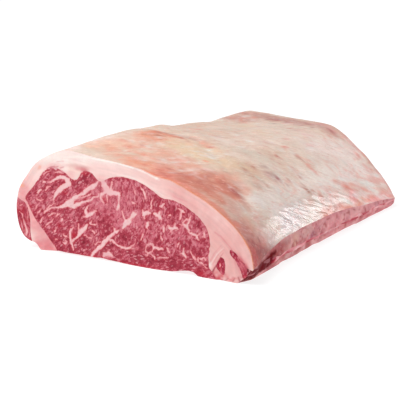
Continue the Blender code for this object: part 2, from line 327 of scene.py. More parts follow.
def cut(thing, operation, tool):
    """Applies a Boolean at once. The new faces bring the tool's materials with them."""
    change = thing.modifiers.new(operation, "BOOLEAN")
    change.operation = operation
    change.solver = "MANIFOLD"
    change.material_mode = "TRANSFER"
    change.object = tool
    made = bpy.data.meshes.new_from_object(thing.evaluated_get(bpy.context.evaluated_depsgraph_get()))
    thing.modifiers.remove(change)
    thing.data = made


rib_knife = knife("rib_knife", RIB_END, -1, 0.7, 11)
hip_knife = knife("hip_knife", HIP_END, 1, 1.1, 21)
for tool in (rib_knife, hip_knife):
    cut(block, "DIFFERENCE", tool)
    bpy.data.objects.remove(tool)

# -------------------------------------------------------------------------------- loin eye
# The eye is the large marbled muscle that fills most of the cut face, longissimus with the meat above it.
# Fat veins run through it from end to end. It is cut out of the block along its seam with the fat. Its
# outline at the rib end, like the other muscles', is a closed curve through points (x, z).
LOIN_EYE = [(-74, -8), (-76, 2), (-84, 11), (-93, 20), (-101, 29), (-107, 39.5), (-110, 46), (-103.5, 53.5),
            (-94, 63.5), (-88, 71), (-80, 75), (-70, 74.6), (-63, 72), (-58.5, 67.5), (-52, 67.8),
            (-47.5, 74), (-42, 76), (-36, 74.3), (-31, 69.6), (-26.5, 68.6), (-19, 72), (-8, 74.6),
            (6, 73.4), (16, 70.6), (27, 65), (35.5, 61), (46, 60.5), (58, 56.2), (68, 50.6), (75.5, 43),
            (79, 34.5), (79.6, 27), (78.4, 17), (78.6, 10), (75, -8)]
HIP_NARROWING = 0.10  # the muscles are this much narrower at the hip end
HIP_LOWERING = 0.06  # and this much lower
HIP_SHIFT = -6.0  # and lie this far towards the chine
OUTLINE_STEP = 1.5  # between an outline's points
SEAM_GAP = 0.05  # between a muscle and the fat round it
SHARP_FROM = math.radians(48)  # an edge that turns more than this stays sharp

# Veins of fat on the cut face, each a line through points (x, z, half width)
VEINS = [
    # Upper chine lobe: two tongues of fat that open from the chine side
    [(-83.5, 61.8, 0.6), (-78.5, 63.6, 1.1), (-74.2, 66.3, 1.8), (-70, 67.8, 1.9), (-65.5, 67.4, 1.9),
     (-62, 65.2, 2.2), (-60.8, 62.5, 2.3)],
    [(-60.8, 62.5, 2.3), (-64.5, 60.8, 2.4), (-68.3, 58.4, 2.5), (-71.7, 55.8, 2.3), (-75, 52.4, 1.9),
     (-77.6, 49.2, 1.2), (-79.4, 46, 0.5)],
    # Long seam from the chine side up to the dip in the cap: its head, its upper, lower and middle bands
    [(-90, 33.8, 0.6), (-87.5, 35.8, 1), (-83, 38.4, 1), (-78, 39.8, 0.9), (-73.3, 40.8, 1),
     (-68.3, 42.6, 1.8), (-63.3, 44.8, 3), (-59.5, 46.6, 3.2), (-57.5, 49.2, 2.2), (-54.2, 52, 2),
     (-50, 53.8, 1.2), (-46.7, 55.8, 1.4), (-43.8, 58.3, 2), (-40, 60.8, 2.2), (-35.8, 62.8, 2),
     (-32.5, 65, 1.8), (-30, 67.5, 1)],
    [(-62, 43.6, 2.2), (-56.7, 43.6, 2), (-52.5, 45.6, 1.8), (-47.5, 47.9, 1.4), (-43, 49.6, 1.1),
     (-38.3, 51.2, 0.9), (-35, 53.3, 0.9), (-31.7, 55, 0.9), (-29.2, 57, 1.1)],
    [(-52, 50.2, 0.7), (-46, 53, 0.7), (-41, 55, 0.9), (-38, 56, 0.6)],
    [(-87, 37.6, 0.5), (-83.3, 40.8, 0.7), (-80, 42.6, 0.5), (-76, 44.2, 0.3)],
    # Knot of pink fat below the dip
    [(-26, 70, 2.4), (-24, 66.5, 2.8), (-22, 62.8, 3.2), (-18, 59.6, 3), (-13, 60, 2.1), (-9, 60.6, 1.7)],
    [(-8.8, 60.5, 1.5), (-8.6, 56, 1.1), (-9, 52.5, 0.8), (-9.6, 48.2, 1.7), (-11, 46, 0.8)],
    [(-16.5, 62.5, 1.3), (-16.4, 66.4, 0.9), (-15.7, 69.5, 0.7)],
    [(-22, 60, 1.8), (-26.5, 57.5, 1.3), (-27.6, 54.5, 1.1), (-26.5, 51.5, 0.9), (-24, 50.6, 0.5)],
    [(-21, 57, 0.8), (-21.3, 54, 0.7), (-21, 51.5, 0.4)],
    # Left middle
    [(-46.7, 35.4, 0.5), (-42, 37.5, 1.7), (-37.5, 39.6, 1.6), (-33.3, 42.5, 0.7)],
    [(-43, 38, 1.8), (-44.2, 41, 1.2), (-42.5, 44.2, 1), (-40.8, 46, 0.5)],
    [(-37.5, 32.9, 0.6), (-39.5, 31.6, 0.8), (-37.2, 29.8, 1), (-34.5, 30.2, 1.1), (-32.2, 31.2, 0.5)],
    [(-58, 25, 0.6), (-60, 22.5, 0.9), (-61.3, 18.3, 1.2), (-61.3, 14.2, 1.3), (-59.6, 9.5, 1.2),
     (-58, 5.4, 0.8)],
    [(-42.3, 29.4, 0.8), (-44, 26.8, 1.6), (-47.5, 24.2, 2.3), (-50.8, 20.6, 2.1), (-53.3, 17, 1.3),
     (-56.7, 14, 1), (-59, 12, 1)],
    [(-51, 22, 1), (-52.3, 25.5, 0.8), (-52, 28.5, 0.6)],
    [(-45.8, 19.8, 0.5), (-42, 18.5, 0.6), (-37, 18, 0.4)],
    # Seam that climbs from the bone side to the middle, with its fork
    [(-38, 2.5, 1.3), (-36.7, 5, 1.6), (-33.3, 7.8, 1.9), (-29.2, 11, 2), (-25.6, 15.2, 2),
     (-22.3, 18.7, 1.8), (-18.6, 22, 1.4), (-13.6, 25.8, 1.4), (-11.2, 27.4, 1.4), (-9.4, 28.4, 0.8)],
    [(-13, 26.5, 1.3), (-13.6, 29.4, 0.9), (-15.5, 30.8, 0.4)],
    [(-20.7, 19.4, 1.2), (-16.4, 18.7, 1), (-12.9, 17.2, 1.1), (-10, 15.4, 1.2), (-5.7, 14, 1.1),
     (-0.7, 14.3, 1.1), (2.9, 15.4, 0.8), (5.7, 17.9, 0.6), (7.9, 20.7, 0.4)],
    [(-26, 3.5, 1), (-24.5, 5.8, 1.8), (-21, 6.6, 2.1), (-16.5, 5, 1.3)],
    [(-34, 13.5, 0.8), (-31, 15.5, 0.8), (-28.5, 16.3, 0.5)],
    # Star
    [(-5.4, 30.8, 0.7), (-3.6, 33.6, 1.9), (-0.7, 36.4, 2.8), (2.9, 39.5, 1.7), (3.8, 41.6, 1.6),
     (5.8, 43.6, 2.5), (8, 45, 1.5)],
    [(-2, 37.5, 1.2), (-4.4, 41.8, 0.9), (-5.9, 45.4, 0.7)],
    # Middle and upper right: short branched flecks
    [(14.6, 43.6, 0.8), (16.4, 45.8, 1.8), (19.3, 46.9, 2.3), (22.3, 47.5, 1.2)],
    [(17.2, 45, 1.2), (17.1, 41.8, 0.7)],
    [(16, 46.5, 1), (15, 48.8, 0.6)],
    [(20.5, 47.5, 1), (21.2, 49.8, 0.5)],
    [(26, 47.2, 1), (28.8, 46.6, 1.9), (31.4, 45.6, 1.9), (34, 43.8, 0.8)],
    [(31, 46.5, 1.2), (32.3, 49.3, 0.8)],
    [(30.6, 45.5, 1.4), (31.2, 42.8, 0.8)],
    [(24.4, 58, 0.6), (23.9, 55, 0.9), (23.6, 51.6, 1.2)],
    [(13.6, 68.2, 0.6), (15.7, 65, 1.2), (17.1, 62.1, 1.4), (18.2, 58.6, 0.7)],
    [(7, 64.6, 0.5), (7.8, 62, 0.7), (8.7, 60, 0.5)],
    [(4, 53.9, 0.6), (6, 53.3, 0.9), (8, 53.2, 0.5)],
    [(31.5, 54, 0.6), (34.3, 55.4, 1.3), (36.6, 57.2, 0.6)],
    [(34.5, 55, 0.6), (35, 52.5, 0.4)],
    [(21.2, 39.2, 0.8), (19.8, 37.8, 1.7), (18.6, 34.6, 1), (20, 33, 0.5)],
    [(35.8, 38.6, 0.6), (35.8, 36.6, 1.2), (35.9, 33.4, 0.9)],
    [(33.4, 29.4, 0.6), (34, 27, 1), (34.2, 24.8, 0.6)],
    [(15.4, 29.3, 0.5), (14.3, 26, 0.8), (13.2, 22.9, 0.5)],
    [(17.1, 16.4, 0.5), (19.3, 19.3, 0.8), (22.1, 21.1, 0.9), (25.4, 20.9, 0.9), (25.6, 18.6, 1),
     (24.4, 15.2, 0.5), (22.3, 13.1, 0.7), (20, 12.5, 0.9), (17.9, 13.8, 0.7), (17.1, 16.2, 0.5)],
    [(26, 18.4, 1.2), (30.7, 18.5, 1.2), (35, 19, 1.1)],
    [(19.8, 12, 0.8), (18.8, 10, 0.5)],
    [(23.8, 13, 0.6), (26.2, 10.8, 0.9), (27.2, 8.6, 0.6)],
    [(30, 10.6, 0.5), (35, 11.1, 0.6), (40, 11.8, 0.5)],
    # Tail half: a branching net
    [(40.7, 39.5, 0.9), (41.8, 37.3, 1.3), (43.8, 36.6, 1.5), (46.4, 37.8, 1.3), (49.8, 38, 1.1)],
    [(43.6, 36.6, 1), (43.2, 34.4, 0.5)],
    [(46.6, 38.4, 0.9), (47, 41.4, 0.7)],
    [(50.5, 53.9, 0.8), (52.9, 53, 1.4), (55.8, 52, 0.8)],
    [(52.7, 52.5, 1), (52.5, 48.5, 1), (51.4, 45.4, 0.8)],
    [(62.3, 48.8, 0.7), (61, 46.2, 1), (59.6, 43.4, 1), (58.8, 40.2, 1.4), (60, 37.6, 1), (60.3, 35.6, 0.8)],
    [(61, 46, 0.8), (58, 46.2, 0.7), (55.6, 45, 0.7), (54.6, 42.4, 0.9), (56.4, 41.2, 1.4),
     (58.8, 40.4, 1.4)],
    [(56, 41.5, 0.8), (53, 40.8, 0.6), (51, 41.4, 0.4)],
    [(60, 36, 0.9), (63.6, 34.7, 1.1), (66.4, 34.3, 1.2), (67.9, 32.5, 1), (69.5, 30.6, 0.6)],
    [(66.8, 34, 0.9), (69, 35, 0.6), (71, 36.5, 0.5)],
    [(74.3, 38.8, 0.8), (74.6, 36.6, 1.2), (75, 34, 0.8), (72.6, 33.4, 0.4)],
    [(48.5, 22.5, 0.5), (50.2, 24.5, 0.9), (51.5, 26.8, 0.4)],
    [(54.9, 22, 0.8), (55.2, 18.6, 1.1), (55.6, 17, 1.5), (57, 15, 0.9)],
    [(55.2, 17.4, 1.1), (53, 17, 0.6)],
    [(61.6, 20.4, 0.6), (62.9, 17.3, 1), (65.2, 15.2, 0.9), (66.6, 13.6, 0.5)],
    [(68.7, 16, 0.7), (68, 13.8, 0.9), (69.8, 11.6, 0.6)],
    [(69.5, 14.8, 0.7), (71.6, 15.1, 1), (73.8, 16.4, 0.8), (76, 14.8, 0.6)],
    [(69.8, 12.2, 0.6), (72.1, 11.4, 0.9), (74.3, 10, 0.8), (76.6, 8.4, 0.5)],
    # Small marks along the chine side, and streaks that fan out below the long seam
    [(-96.5, 51, 0.9), (-93.5, 53.2, 1.2), (-91.3, 54.4, 0.5)],
    [(-98, 47.5, 0.4), (-97, 45, 0.8), (-93.5, 44.4, 0.7), (-90.5, 46, 0.4)],
    [(-87, 54.2, 0.5), (-85, 57.3, 0.7), (-81.7, 58.4, 0.5)],
    [(-89, 61.5, 1.1), (-86.6, 61.7, 1.1)],
    [(-89, 68, 0.5), (-85, 70.6, 0.6), (-81, 72.4, 0.4)],
    [(-76, 71.4, 0.4), (-71.5, 72.3, 0.7), (-67, 71.6, 0.5)],
    [(-99, 35.5, 0.4), (-97.8, 38.4, 0.7), (-96.4, 40.4, 0.4)],
    [(-97.5, 31.8, 0.4), (-95, 34.6, 0.7), (-92.6, 37.2, 0.4)],
    [(-94, 24.6, 0.7), (-92.2, 27.6, 0.8), (-91, 29.4, 0.4)],
    [(-89, 21, 0.5), (-86, 24.4, 0.8), (-82, 27.2, 0.7), (-79, 29.6, 0.4)],
    [(-85, 31.2, 0.5), (-81.5, 33.4, 0.8), (-78, 35.4, 0.5)],
    [(-76.5, 32.2, 0.5), (-74.2, 34.2, 0.9), (-71.8, 35.8, 0.5)],
    [(-71.5, 28.2, 0.7), (-69.6, 29.6, 1.3), (-69, 31.4, 0.5)],
    [(-78.5, 18.6, 0.6), (-77, 19.8, 1.2)],
    [(-68.3, 17.2, 0.6), (-66.4, 16, 1), (-63.8, 15.2, 0.5)],
    [(-66.5, 12.4, 0.5), (-65, 10.6, 0.7), (-67.6, 9, 1.2), (-69.4, 10.4, 0.5)],
    [(-77.5, 12.2, 0.5), (-75, 11.4, 0.6)],
    [(-37, 24.2, 0.8), (-35, 22.8, 1)],
    [(41, 47.4, 0.8), (42.8, 47.6, 1)],
    [(39.4, 19.6, 0.9), (41.2, 16.8, 0.7)],
    [(2.9, 14.2, 0.4), (6.5, 14.6, 0.4), (10, 15.4, 0.3)],
]
VEIN_RAGGED = 0.6  # how far a vein's edge strays
VEIN_REACH = 6.0  # a vein is worked out for the points this near to it
VEIN_FAR = 9.0  # the distance kept where no vein is near

# Broad tones of the eye on the cut face: x, z, radius along x, radius along z, and how much deeper or paler
DEEP_MEAT = [(-44, 72, 8, 5, 1.3), (-50, 67, 9, 4, 0.7), (-56, 9, 22, 9, 0.5), (-78, 8, 18, 9, 0.45),
             (-20, 14, 7, 3, 1.0), (-4, 24, 8, 5, 0.8), (5, 8, 30, 6, 0.5), (-88, 30, 12, 10, 0.3),
             (60, 9, 18, 6, 0.4), (-58, 32, 12, 6, 0.3), (-72, 69, 10, 1.6, 0.6), (45, 52, 12, 6, 0.25),
             (-46.4, 13.3, 1.8, 1.8, 1.6), (-30, 26, 10, 8, 0.4), (20, 17, 3, 3, 0.4), (-24, 34, 3, 4, 0.5)]
PALE_MEAT = [(-30, 47, 10, 12, 0.7), (-8, 45, 12, 12, 0.65), (10, 40, 16, 9, 0.5), (30, 33, 18, 9, 0.4),
             (0, 62, 20, 10, 0.35), (60, 28, 14, 9, 0.4), (-33, 61, 8, 5, 0.5), (-85, 46, 10, 8, 0.25),
             (-75, 24, 8, 6, 0.2), (-97, 40, 5, 8, 0.2), (-60, 37, 8, 4, 0.35)]
# In the same form: zones where fat and meat blend softly, spots of fresh bright red, and the lobes into
# whose edge strands of fat slant
HAZE = [(-20, 61, 9, 5.5, 0.5), (-46, 77.5, 9, 2.2, 0.7), (-60, 72.5, 3, 3, 0.6), (-27, 69, 5, 3, 0.5),
        (-74, 76, 14, 2, 0.5), (-21, 5, 5, 3.5, 0.5)]
VIVID_MEAT = [(-56.7, 18.3, 2.2, 2.6, 1.0), (-35, 1.5, 26, 1.8, 0.7), (-45, 74, 6, 2.5, 0.7),
              (12, 1, 24, 1.6, 0.6), (57.2, 43.6, 1.6, 0.9, 1.0), (-66, 54.5, 3, 1.5, 0.7),
              (-53, 47.8, 6, 1.2, 0.8), (-24, 54, 1.6, 2.2, 0.8), (72, 3, 7, 3, 0.7), (-105, 36, 4, 8, 0.3),
              (-90, 70, 5, 3, 0.3), (-73, 24.4, 2, 1.2, 0.7)]
STRANDED = [(-74, 73, 20, 9, 2.2), (-45, 75, 12, 6, 1.2), (-10, 74, 22, 5, 0.8)]

# The two cuts, and the parts of the muscle that the rib-end cut doesn't show
RIB_FACE = 2.0  # points this near to the rib end count as its cut, whose waves are lower than this
HIP_FACE = 5.0  # and points this near to the hip end as the other
HIP_MIRROR = -26.0  # the hip end shows a vein at x where the rib end shows it at this less x
RIB_BAND = 26.0  # on the bone side fat begins this far from the middle between two ribs


def on_rib_cut(y):
    """Whether each point lies on the rib-end cut."""
    return y < RIB_END + RIB_FACE


def muscle_outline(knots, y):
    """A muscle's closed outline at y, as (x, z): a smooth curve through its knots, narrowed, lowered and
    shifted evenly towards the hip end."""
    around = np.sum(np.hypot(*(np.array(knots) - np.roll(knots, 1, axis=0)).T))
    outline = curve(knots, np.arange(0, 1, OUTLINE_STEP / around), closed=True)
    share = (y - RIB_END) / LENGTH
    return outline * (1 - HIP_NARROWING * share, 1 - HIP_LOWERING * share) + (HIP_SHIFT * share, 0)


def muscle_block(name, outlines, rows, grow):
    """A muscle as a closed block that runs past both cuts: one outline for each y, each point moved along
    the outline's normal by small random swells and by grow."""
    rings = []
    for outline, y in zip(outlines, rows):
        x, z = outline.T
        slope = np.roll(outline, -1, axis=0) - np.roll(outline, 1, axis=0)
        outward = slope[:, ::-1] * (-1, 1) / np.linalg.norm(slope, axis=1, keepdims=True)
        swell = 0.35 * uneven(x, z, 4.5, 4.5, 31) + 0.22 * uneven(x, z, 2, 2, 32)
        swell = swell + 0.8 * uneven(x + z, 0 * x + y, 28, 34, 33) * min((y - RIB_END) / 20, 1)
        moved = outline + outward * (grow + swell)[:, None]
        rings.append(np.column_stack([moved[:, 0], np.full(len(x), y), moved[:, 1]]))
    return closed_tube(name, np.array(rings), [wall], np.zeros(len(rings[0])))


def free_muscle(name, knots, outline_at, rows):
    """Cuts a muscle out of the block as a piece of its own, and leaves its room in the block."""
    outlines = [outline_at(knots, min(max(y, RIB_END), HIP_END)) for y in rows]
    piece = bpy.data.objects.new(name, block.data.copy())
    bpy.context.scene.collection.objects.link(piece)
    shape = muscle_block("muscle_shape", outlines, rows, 0)
    cut(piece, "INTERSECT", shape)
    room = muscle_block("muscle_room", outlines, rows, SEAM_GAP)
    cut(block, "DIFFERENCE", room)
    bpy.data.objects.remove(shape)
    bpy.data.objects.remove(room)
    return piece


def places(thing):
    """The x, y and z of a mesh's points, in millimetres."""
    values = np.empty(len(thing.data.vertices) * 3)
    thing.data.vertices.foreach_get("co", values)
    return values.reshape(-1, 3).T / MM


def paint(thing, name, values):
    """Keeps a number, or a colour of three numbers, for each point of a mesh."""
    if values.ndim == 1:
        thing.data.attributes.new(name, "FLOAT", "POINT").data.foreach_set("value", values)
        return
    values = np.column_stack([values, np.ones(len(values))])
    thing.data.attributes.new(name, "FLOAT_COLOR", "POINT").data.foreach_set("color", values.ravel())


def dress(thing, finishes):
    """Puts a piece's finishes in place of the stand-ins, and shades it smooth between its sharp edges."""
    for index, stand_in in enumerate(list(thing.data.materials)):
        thing.data.materials[index] = finishes[stand_in.name]
    thing.data.shade_smooth()
    thing.data.set_sharp_from_angle(angle=SHARP_FROM)


def tint(red, green, blue):
    """A screen colour, 0 to 255, as the light that it reflects: each channel is raised to the power 2.4
    after the screen's small offset."""
    screen = np.array([red, green, blue]) / 255
    return np.where(screen < 0.04045, screen / 12.92, ((screen + 0.055) / 1.055) ** 2.4)


class Wire:
    """A value that runs between a finish's nodes. Arithmetic on it adds Math nodes."""

    def __init__(self, finish, socket):
        self.finish = finish
        self.socket = socket

    def math(self, operation, first, second=0):
        return self.finish.node("ShaderNodeMath", {"operation": operation}, {0: first, 1: second})

    def __add__(self, other):
        return self.math("ADD", self, other)

    def __sub__(self, other):
        return self.math("SUBTRACT", self, other)

    def __rsub__(self, other):
        return self.math("SUBTRACT", other, self)

    def __mul__(self, other):
        return self.math("MULTIPLY", self, other)

    def __abs__(self):
        return self.math("ABSOLUTE", self)

    def most(self, other):
        return self.math("MAXIMUM", self, other)

    def step(self, low, high):
        """0 at low and before it, 1 at high and past it, and a smoothstep between."""
        ends = {"Value": self, "From Min": low, "From Max": high}
        return self.finish.node("ShaderNodeMapRange", {"interpolation_type": "SMOOTHSTEP"}, ends)

    __radd__ = __add__
    __rmul__ = __mul__


class Finish:
    """The nodes of one material."""

    def __init__(self, name, see_through):
        self.material = bpy.data.materials.new(name)
        self.material.use_nodes = True
        self.nodes = self.material.node_tree.nodes
        self.links = self.material.node_tree.links
        self.shader = self.nodes["Principled BSDF"]
        self.shader.inputs["Subsurface Weight"].default_value = see_through
        self.shader.inputs["Subsurface Radius"].default_value = (1, 0.35, 0.25)
        self.shader.inputs["Subsurface Scale"].default_value = 1.6 * MM
        self.place = self.node("ShaderNodeTexCoord", output="Object")

    def node(self, kind, settings=None, values=None, output=0):
        """Adds a node: its settings first, then the values or wires of its sockets."""
        made = self.nodes.new(kind)
        for name, setting in (settings or {}).items():
            setattr(made, name, setting)
        for socket, value in (values or {}).items():
            self.feed(made.inputs[socket], value)
        return Wire(self, made.outputs[output])

    def feed(self, socket, value):
        if isinstance(value, Wire):
            self.links.new(value.socket, socket)
        else:
            socket.default_value = value

    def painted(self, name):
        return self.node("ShaderNodeAttribute", {"attribute_name": name}, output="Fac")

    def painted_colour(self, name):
        return self.node("ShaderNodeAttribute", {"attribute_name": name}, output="Color")

    def axis(self, name):
        """How far along x, y or z a point is, in millimetres."""
        return self.node("ShaderNodeSeparateXYZ", None, {0: self.place}, name) * (1 / MM)

    def vector(self, operation, first, second):
        """Vector Math of one vector and another vector or, for SCALE, a number."""
        values = {0: first, ("Scale" if operation == "SCALE" else 1): second}
        return self.node("ShaderNodeVectorMath", {"operation": operation}, values)

    def cross_grain(self):
        """The place across the loin: x, then z, and a fifth of y as the third part, so that patterns run
        along the loin like its fibres."""
        parts = {0: self.axis("X") * MM, 1: self.axis("Z") * MM, 2: self.axis("Y") * 0.2 * MM}
        return self.node("ShaderNodeCombineXYZ", None, parts)

    def stray(self, at, size, by):
        """A place moved by up to about by millimetres, by clouds of a size."""
        clouds = {"Vector": self.vector("SCALE", at, 1 / (size * MM)), "Scale": 1, "Detail": 1}
        cloud = self.node("ShaderNodeTexNoise", None, clouds, "Color")
        shift = self.vector("SCALE", self.vector("SUBTRACT", cloud, (0.5, 0.5, 0.5)), 3 * by * MM)
        return self.vector("ADD", at, shift)

    def cells(self, at, size, seed, turn):
        """A place measured in cells of a size in millimetres, turned by some degrees from its first part
        towards its second."""
        values = {"Vector": at, "Location": (0.013 * seed, -0.017 * seed, 0.011 * seed),
                  "Rotation": (0, 0, math.radians(turn)), "Scale": tuple(part * MM for part in size)}
        return self.node("ShaderNodeMapping", {"vector_type": "TEXTURE"}, values)

    def noise(self, at, size, seed, turn=0, detail=2):
        """Cloudy noise, 0 to 1, with clouds of a size."""
        values = {"Vector": self.cells(at, size, seed, turn), "Scale": 1, "Detail": detail}
        return self.node("ShaderNodeTexNoise", None, values)

    def dashes(self, at, size, seed, turn, least, most):
        """Separate flecks, one in each cell of a Voronoi pattern: 1 where the distance to the cell's point,
        in cells, is less than a radius that varies from least to most."""
        values = {"Vector": self.cells(at, size, seed, turn), "Scale": 1}
        away = self.node("ShaderNodeTexVoronoi", {"voronoi_dimensions": "2D"}, values, "Distance")
        chance = self.node("ShaderNodeTexVoronoi", {"voronoi_dimensions": "2D"}, values, "Color")
        chance = self.node("ShaderNodeSeparateColor", None, {0: chance})
        return (chance * (most - least) + least - away).step(-0.05, 0.07)

    def number_mix(self, share, first, second):
        """The first number at share 0 and the second at share 1."""
        return self.node("ShaderNodeMix", None, {0: share, 2: first, 3: second})

    def mix(self, share, first, second):
        """The first colour at share 0 and the second at share 1."""
        pair = {0: share, 6: rgba(first), 7: rgba(second)}
        return self.node("ShaderNodeMix", {"data_type": "RGBA"}, pair, 2)

    def shade(self, colour, by):
        """A colour made brighter or darker by a factor."""
        return self.vector("SCALE", colour, by)

    def lay(self, colour, roughness, height, depth):
        """Feeds the shader. The height, 0 to 1, stands for depth millimetres of relief."""
        self.feed(self.shader.inputs["Base Color"], colour)
        self.feed(self.shader.inputs["Roughness"], roughness)
        bump = self.node("ShaderNodeBump", None, {"Height": height, "Distance": depth * MM})
        self.feed(self.shader.inputs["Normal"], bump)
        return self.material


def rgba(colour):
    """A colour for a socket: a wire as it is, and three numbers with an alpha of 1."""
    return colour if isinstance(colour, Wire) else (*colour, 1)


def vein_depth(x, z):
    """Least distance from each point to the veins, less their half widths, at places that stray a little."""
    stray_x = x + VEIN_RAGGED * uneven(x, z, 2.8, 2.8, 41) + 0.45 * uneven(x, z, 1.4, 1.4, 42)
    stray_z = z + VEIN_RAGGED * uneven(x, z, 2.8, 2.8, 43) + 0.45 * uneven(x, z, 1.4, 1.4, 44)
    least = np.full(x.shape, VEIN_FAR)
    for vein in VEINS:
        u, v, _ = np.array(vein, float).T
        near = (x > u.min() - VEIN_REACH) & (x < u.max() + VEIN_REACH)
        near = near & (z > v.min() - VEIN_REACH) & (z < v.max() + VEIN_REACH)
        least[near] = np.minimum(least[near], band_distance(stray_x[near], stray_z[near], vein))
    return least


def edge_depth(x, z, y):
    """Distance from each point to the eye's outline at y, less a ragged edge of up to 1.25 mm and less
    slanting strands round the upper lobes."""
    outline = muscle_outline(LOIN_EYE, y)
    loop = np.column_stack([np.vstack([outline, outline[:1]])[::2], np.zeros(len(outline) // 2 + 1)])
    ragged = 0.75 * uneven(x, z, 2.4, 2.4, 52) + 0.5 * uneven(x, z, 1.3, 1.3, 53)
    strands = np.maximum(uneven(x - z, x + z, 7, 1.6, 54), 0) * bells(x, z, STRANDED)
    return band_distance(x, z, loop) - np.maximum(ragged, 0) - strands


def paint_marbling(piece):
    """Paints on the eye how far each point lies from a vein, in millimetres with a minus sign inside, and
    how pale, hazy or vivid its meat is. The hip end shows the same veins mirrored and bent, and the bone
    side shows bands of fat where the ribs lay."""
    x, y, z = places(piece)
    vein = np.minimum(vein_depth(x, z), edge_depth(x, z, RIB_END))
    tone = bells(x, z, PALE_MEAT) - bells(x, z, DEEP_MEAT)
    turned_x = HIP_MIRROR - x + 7 * uneven(x, z, 40, 30, 45)
    turned_z = z + 4 * uneven(x, z, 30, 30, 46)
    at_hip = y > HIP_END - HIP_FACE
    hip_vein = np.minimum(vein_depth(turned_x, turned_z), edge_depth(x, z, HIP_END))
    vein = np.where(at_hip, hip_vein, vein)
    tone = np.where(at_hip, 0.6 * uneven(x, z, 24, 18, 47), tone)
    below = (y > RIB_END + RIB_FACE) & ~at_hip
    rib = (y - RIB_SLANT * x) / RIB_PITCH + 0.5
    rib = np.abs(rib - np.round(rib)) * RIB_PITCH - RIB_BAND + 3 * uneven(x, y, 13, 17, 48)
    streak = 3 + 9 * np.abs(uneven(x, y, 9, 46, 50))
    vein = np.where(below, np.minimum(-rib * 0.5, streak - 3.4), vein)
    tone = np.where(below, 0.5 * uneven(x, y, 30, 40, 51), tone)
    paint(piece, "vein", vein)
    paint(piece, "tone", tone)
    haze = bells(x, z, HAZE) * (1 + 0.5 * uneven(x, z, 4, 3, 55))
    paint(piece, "haze", np.clip(haze, 0, 1) * on_rib_cut(y))
    paint(piece, "vivid", np.clip(bells(x, z, VIVID_MEAT), 0, 1) * on_rib_cut(y))


def lean_finish(name, turns, fleck_share, glint):
    """Raw marbled meat: deep red, clouded, with flecks of fat that follow the muscle's grain, and painted
    veins, whose thick middles are paler than their edges. The grain's angle is the first of the turns, and
    each further row (angle, from x, to x, from z, to z) turns it where both ramps reach 1. Glint is how much
    the surface mirrors."""
    meat = Finish(name, 0.1)
    meat.shader.inputs["Specular IOR Level"].default_value = glint
    slice_at = meat.stray(meat.cross_grain(), 5, 1.3)
    x = meat.axis("X")
    z = meat.axis("Z")
    fibre = meat.noise(slice_at, (4.2, 1.7, 9), 3, turns[0])
    grain = meat.noise(slice_at, (3.4, 2.2, 9), 4, turns[0], 3)
    fleck = meat.dashes(slice_at, (5.4, 3, 1), 1, turns[0], -0.05, 0.36)
    for number, (turn, from_x, to_x, from_z, to_z) in enumerate(turns[1:]):
        here = x.step(from_x, to_x) * z.step(from_z, to_z)
        fibre = meat.number_mix(here, fibre, meat.noise(slice_at, (5.6, 1.5, 9), 5 + number, turn))
        grain = meat.number_mix(here, grain, meat.noise(slice_at, (3.8, 2, 9), 11 + number, turn, 3))
        dashes = meat.dashes(slice_at, (6, 2.4, 1), 7 + number, turn, -0.05, 0.38)
        fleck = meat.number_mix(here, fleck, dashes)
    patches = meat.noise(slice_at, (13, 10, 30), 8).step(0.34, 0.6)
    thread = abs(fibre - 0.5).step(0.05, 0.015)
    fine = meat.noise(slice_at, (1.1, 1.1, 5), 10, detail=1)
    tone = meat.painted("tone")
    light = grain * 0.75 + fine * 0.25 + (patches - 0.5) * 0.09 + tone * 0.13
    dark = meat.mix(tone.step(-1.2, -2.4), tint(144, 38, 56), tint(112, 24, 32))
    red = meat.mix(light.step(0.3, 0.5), dark, tint(176, 60, 78))
    red = meat.mix(light.step(0.48, 0.64), red, tint(208, 106, 122))
    flecks = fleck.most(thread * light.step(0.44, 0.6) * 0.75) * (patches * 0.5 + 0.5) * fleck_share
    red = meat.mix(flecks * 0.8, red, tint(228, 154, 162))
    vein = meat.painted("vein") + (fine - 0.5) * 1.1
    red = meat.mix(vein.step(1.5, 0.1) * (1 - light.step(0.4, 0.7)) * 0.6, red, tint(190, 50, 66))
    red = meat.mix(meat.painted("vivid") * 0.75, red, tint(196, 36, 54))
    fat = meat.mix(vein.step(-0.1, -1.1), tint(232, 150, 156), tint(242, 200, 200))
    fat = meat.mix(grain.step(0.5, 0.7) * 0.3, fat, tint(228, 140, 148))
    colour = meat.mix(vein.step(0.35, -0.35), red, fat)
    haze = meat.painted("haze") * (0.6 + grain * 0.8)
    colour = meat.mix(haze * 0.8, colour, tint(232, 156, 164))
    rough = 0.33 + vein.step(0.3, -0.5) * 0.1 + fine * 0.08
    return meat.lay(colour, rough, flecks * 0.4 + grain * 0.6, 0.25)


# The grain of the eye: its angle, then the ramps along x and z where it turns
EYE_GRAIN = [62, (40, -32, -42, -20, -10), (82, -24, -14, 40, 48), (16, -30, -20, 18, 12)]
muscle_rows = np.concatenate([[RIB_END - 12, RIB_END - 6], np.arange(RIB_END, HIP_END + 1, 11.75),
                              [HIP_END + 6, HIP_END + 12]])
eye = free_muscle("marbled_loin_eye", LOIN_EYE, muscle_outline, muscle_rows)
paint_marbling(eye)
dress(eye, dict.fromkeys(STAND_INS, lean_finish("marbled_meat", EYE_GRAIN, 1.0, 0.12)))
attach(eye, "root")
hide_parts("loin_eye")

# -------------------------------------------------------------------------------- chine strip
# A thin strap of dark lean, the multifidus, lies along the chine side behind a seam of fat. It was split off
# with the backbone, so its cut surface shows along the whole side. It is one muscle, cut out of the block.
CHINE_STRIP = [(-112, -4), (-124, 4), (-132, 24), (-124, 43.5), (-115, 42.6), (-110.6, 40.6), (-107.6, 35),
               (-105.6, 26), (-105.4, 14), (-104, 3)]

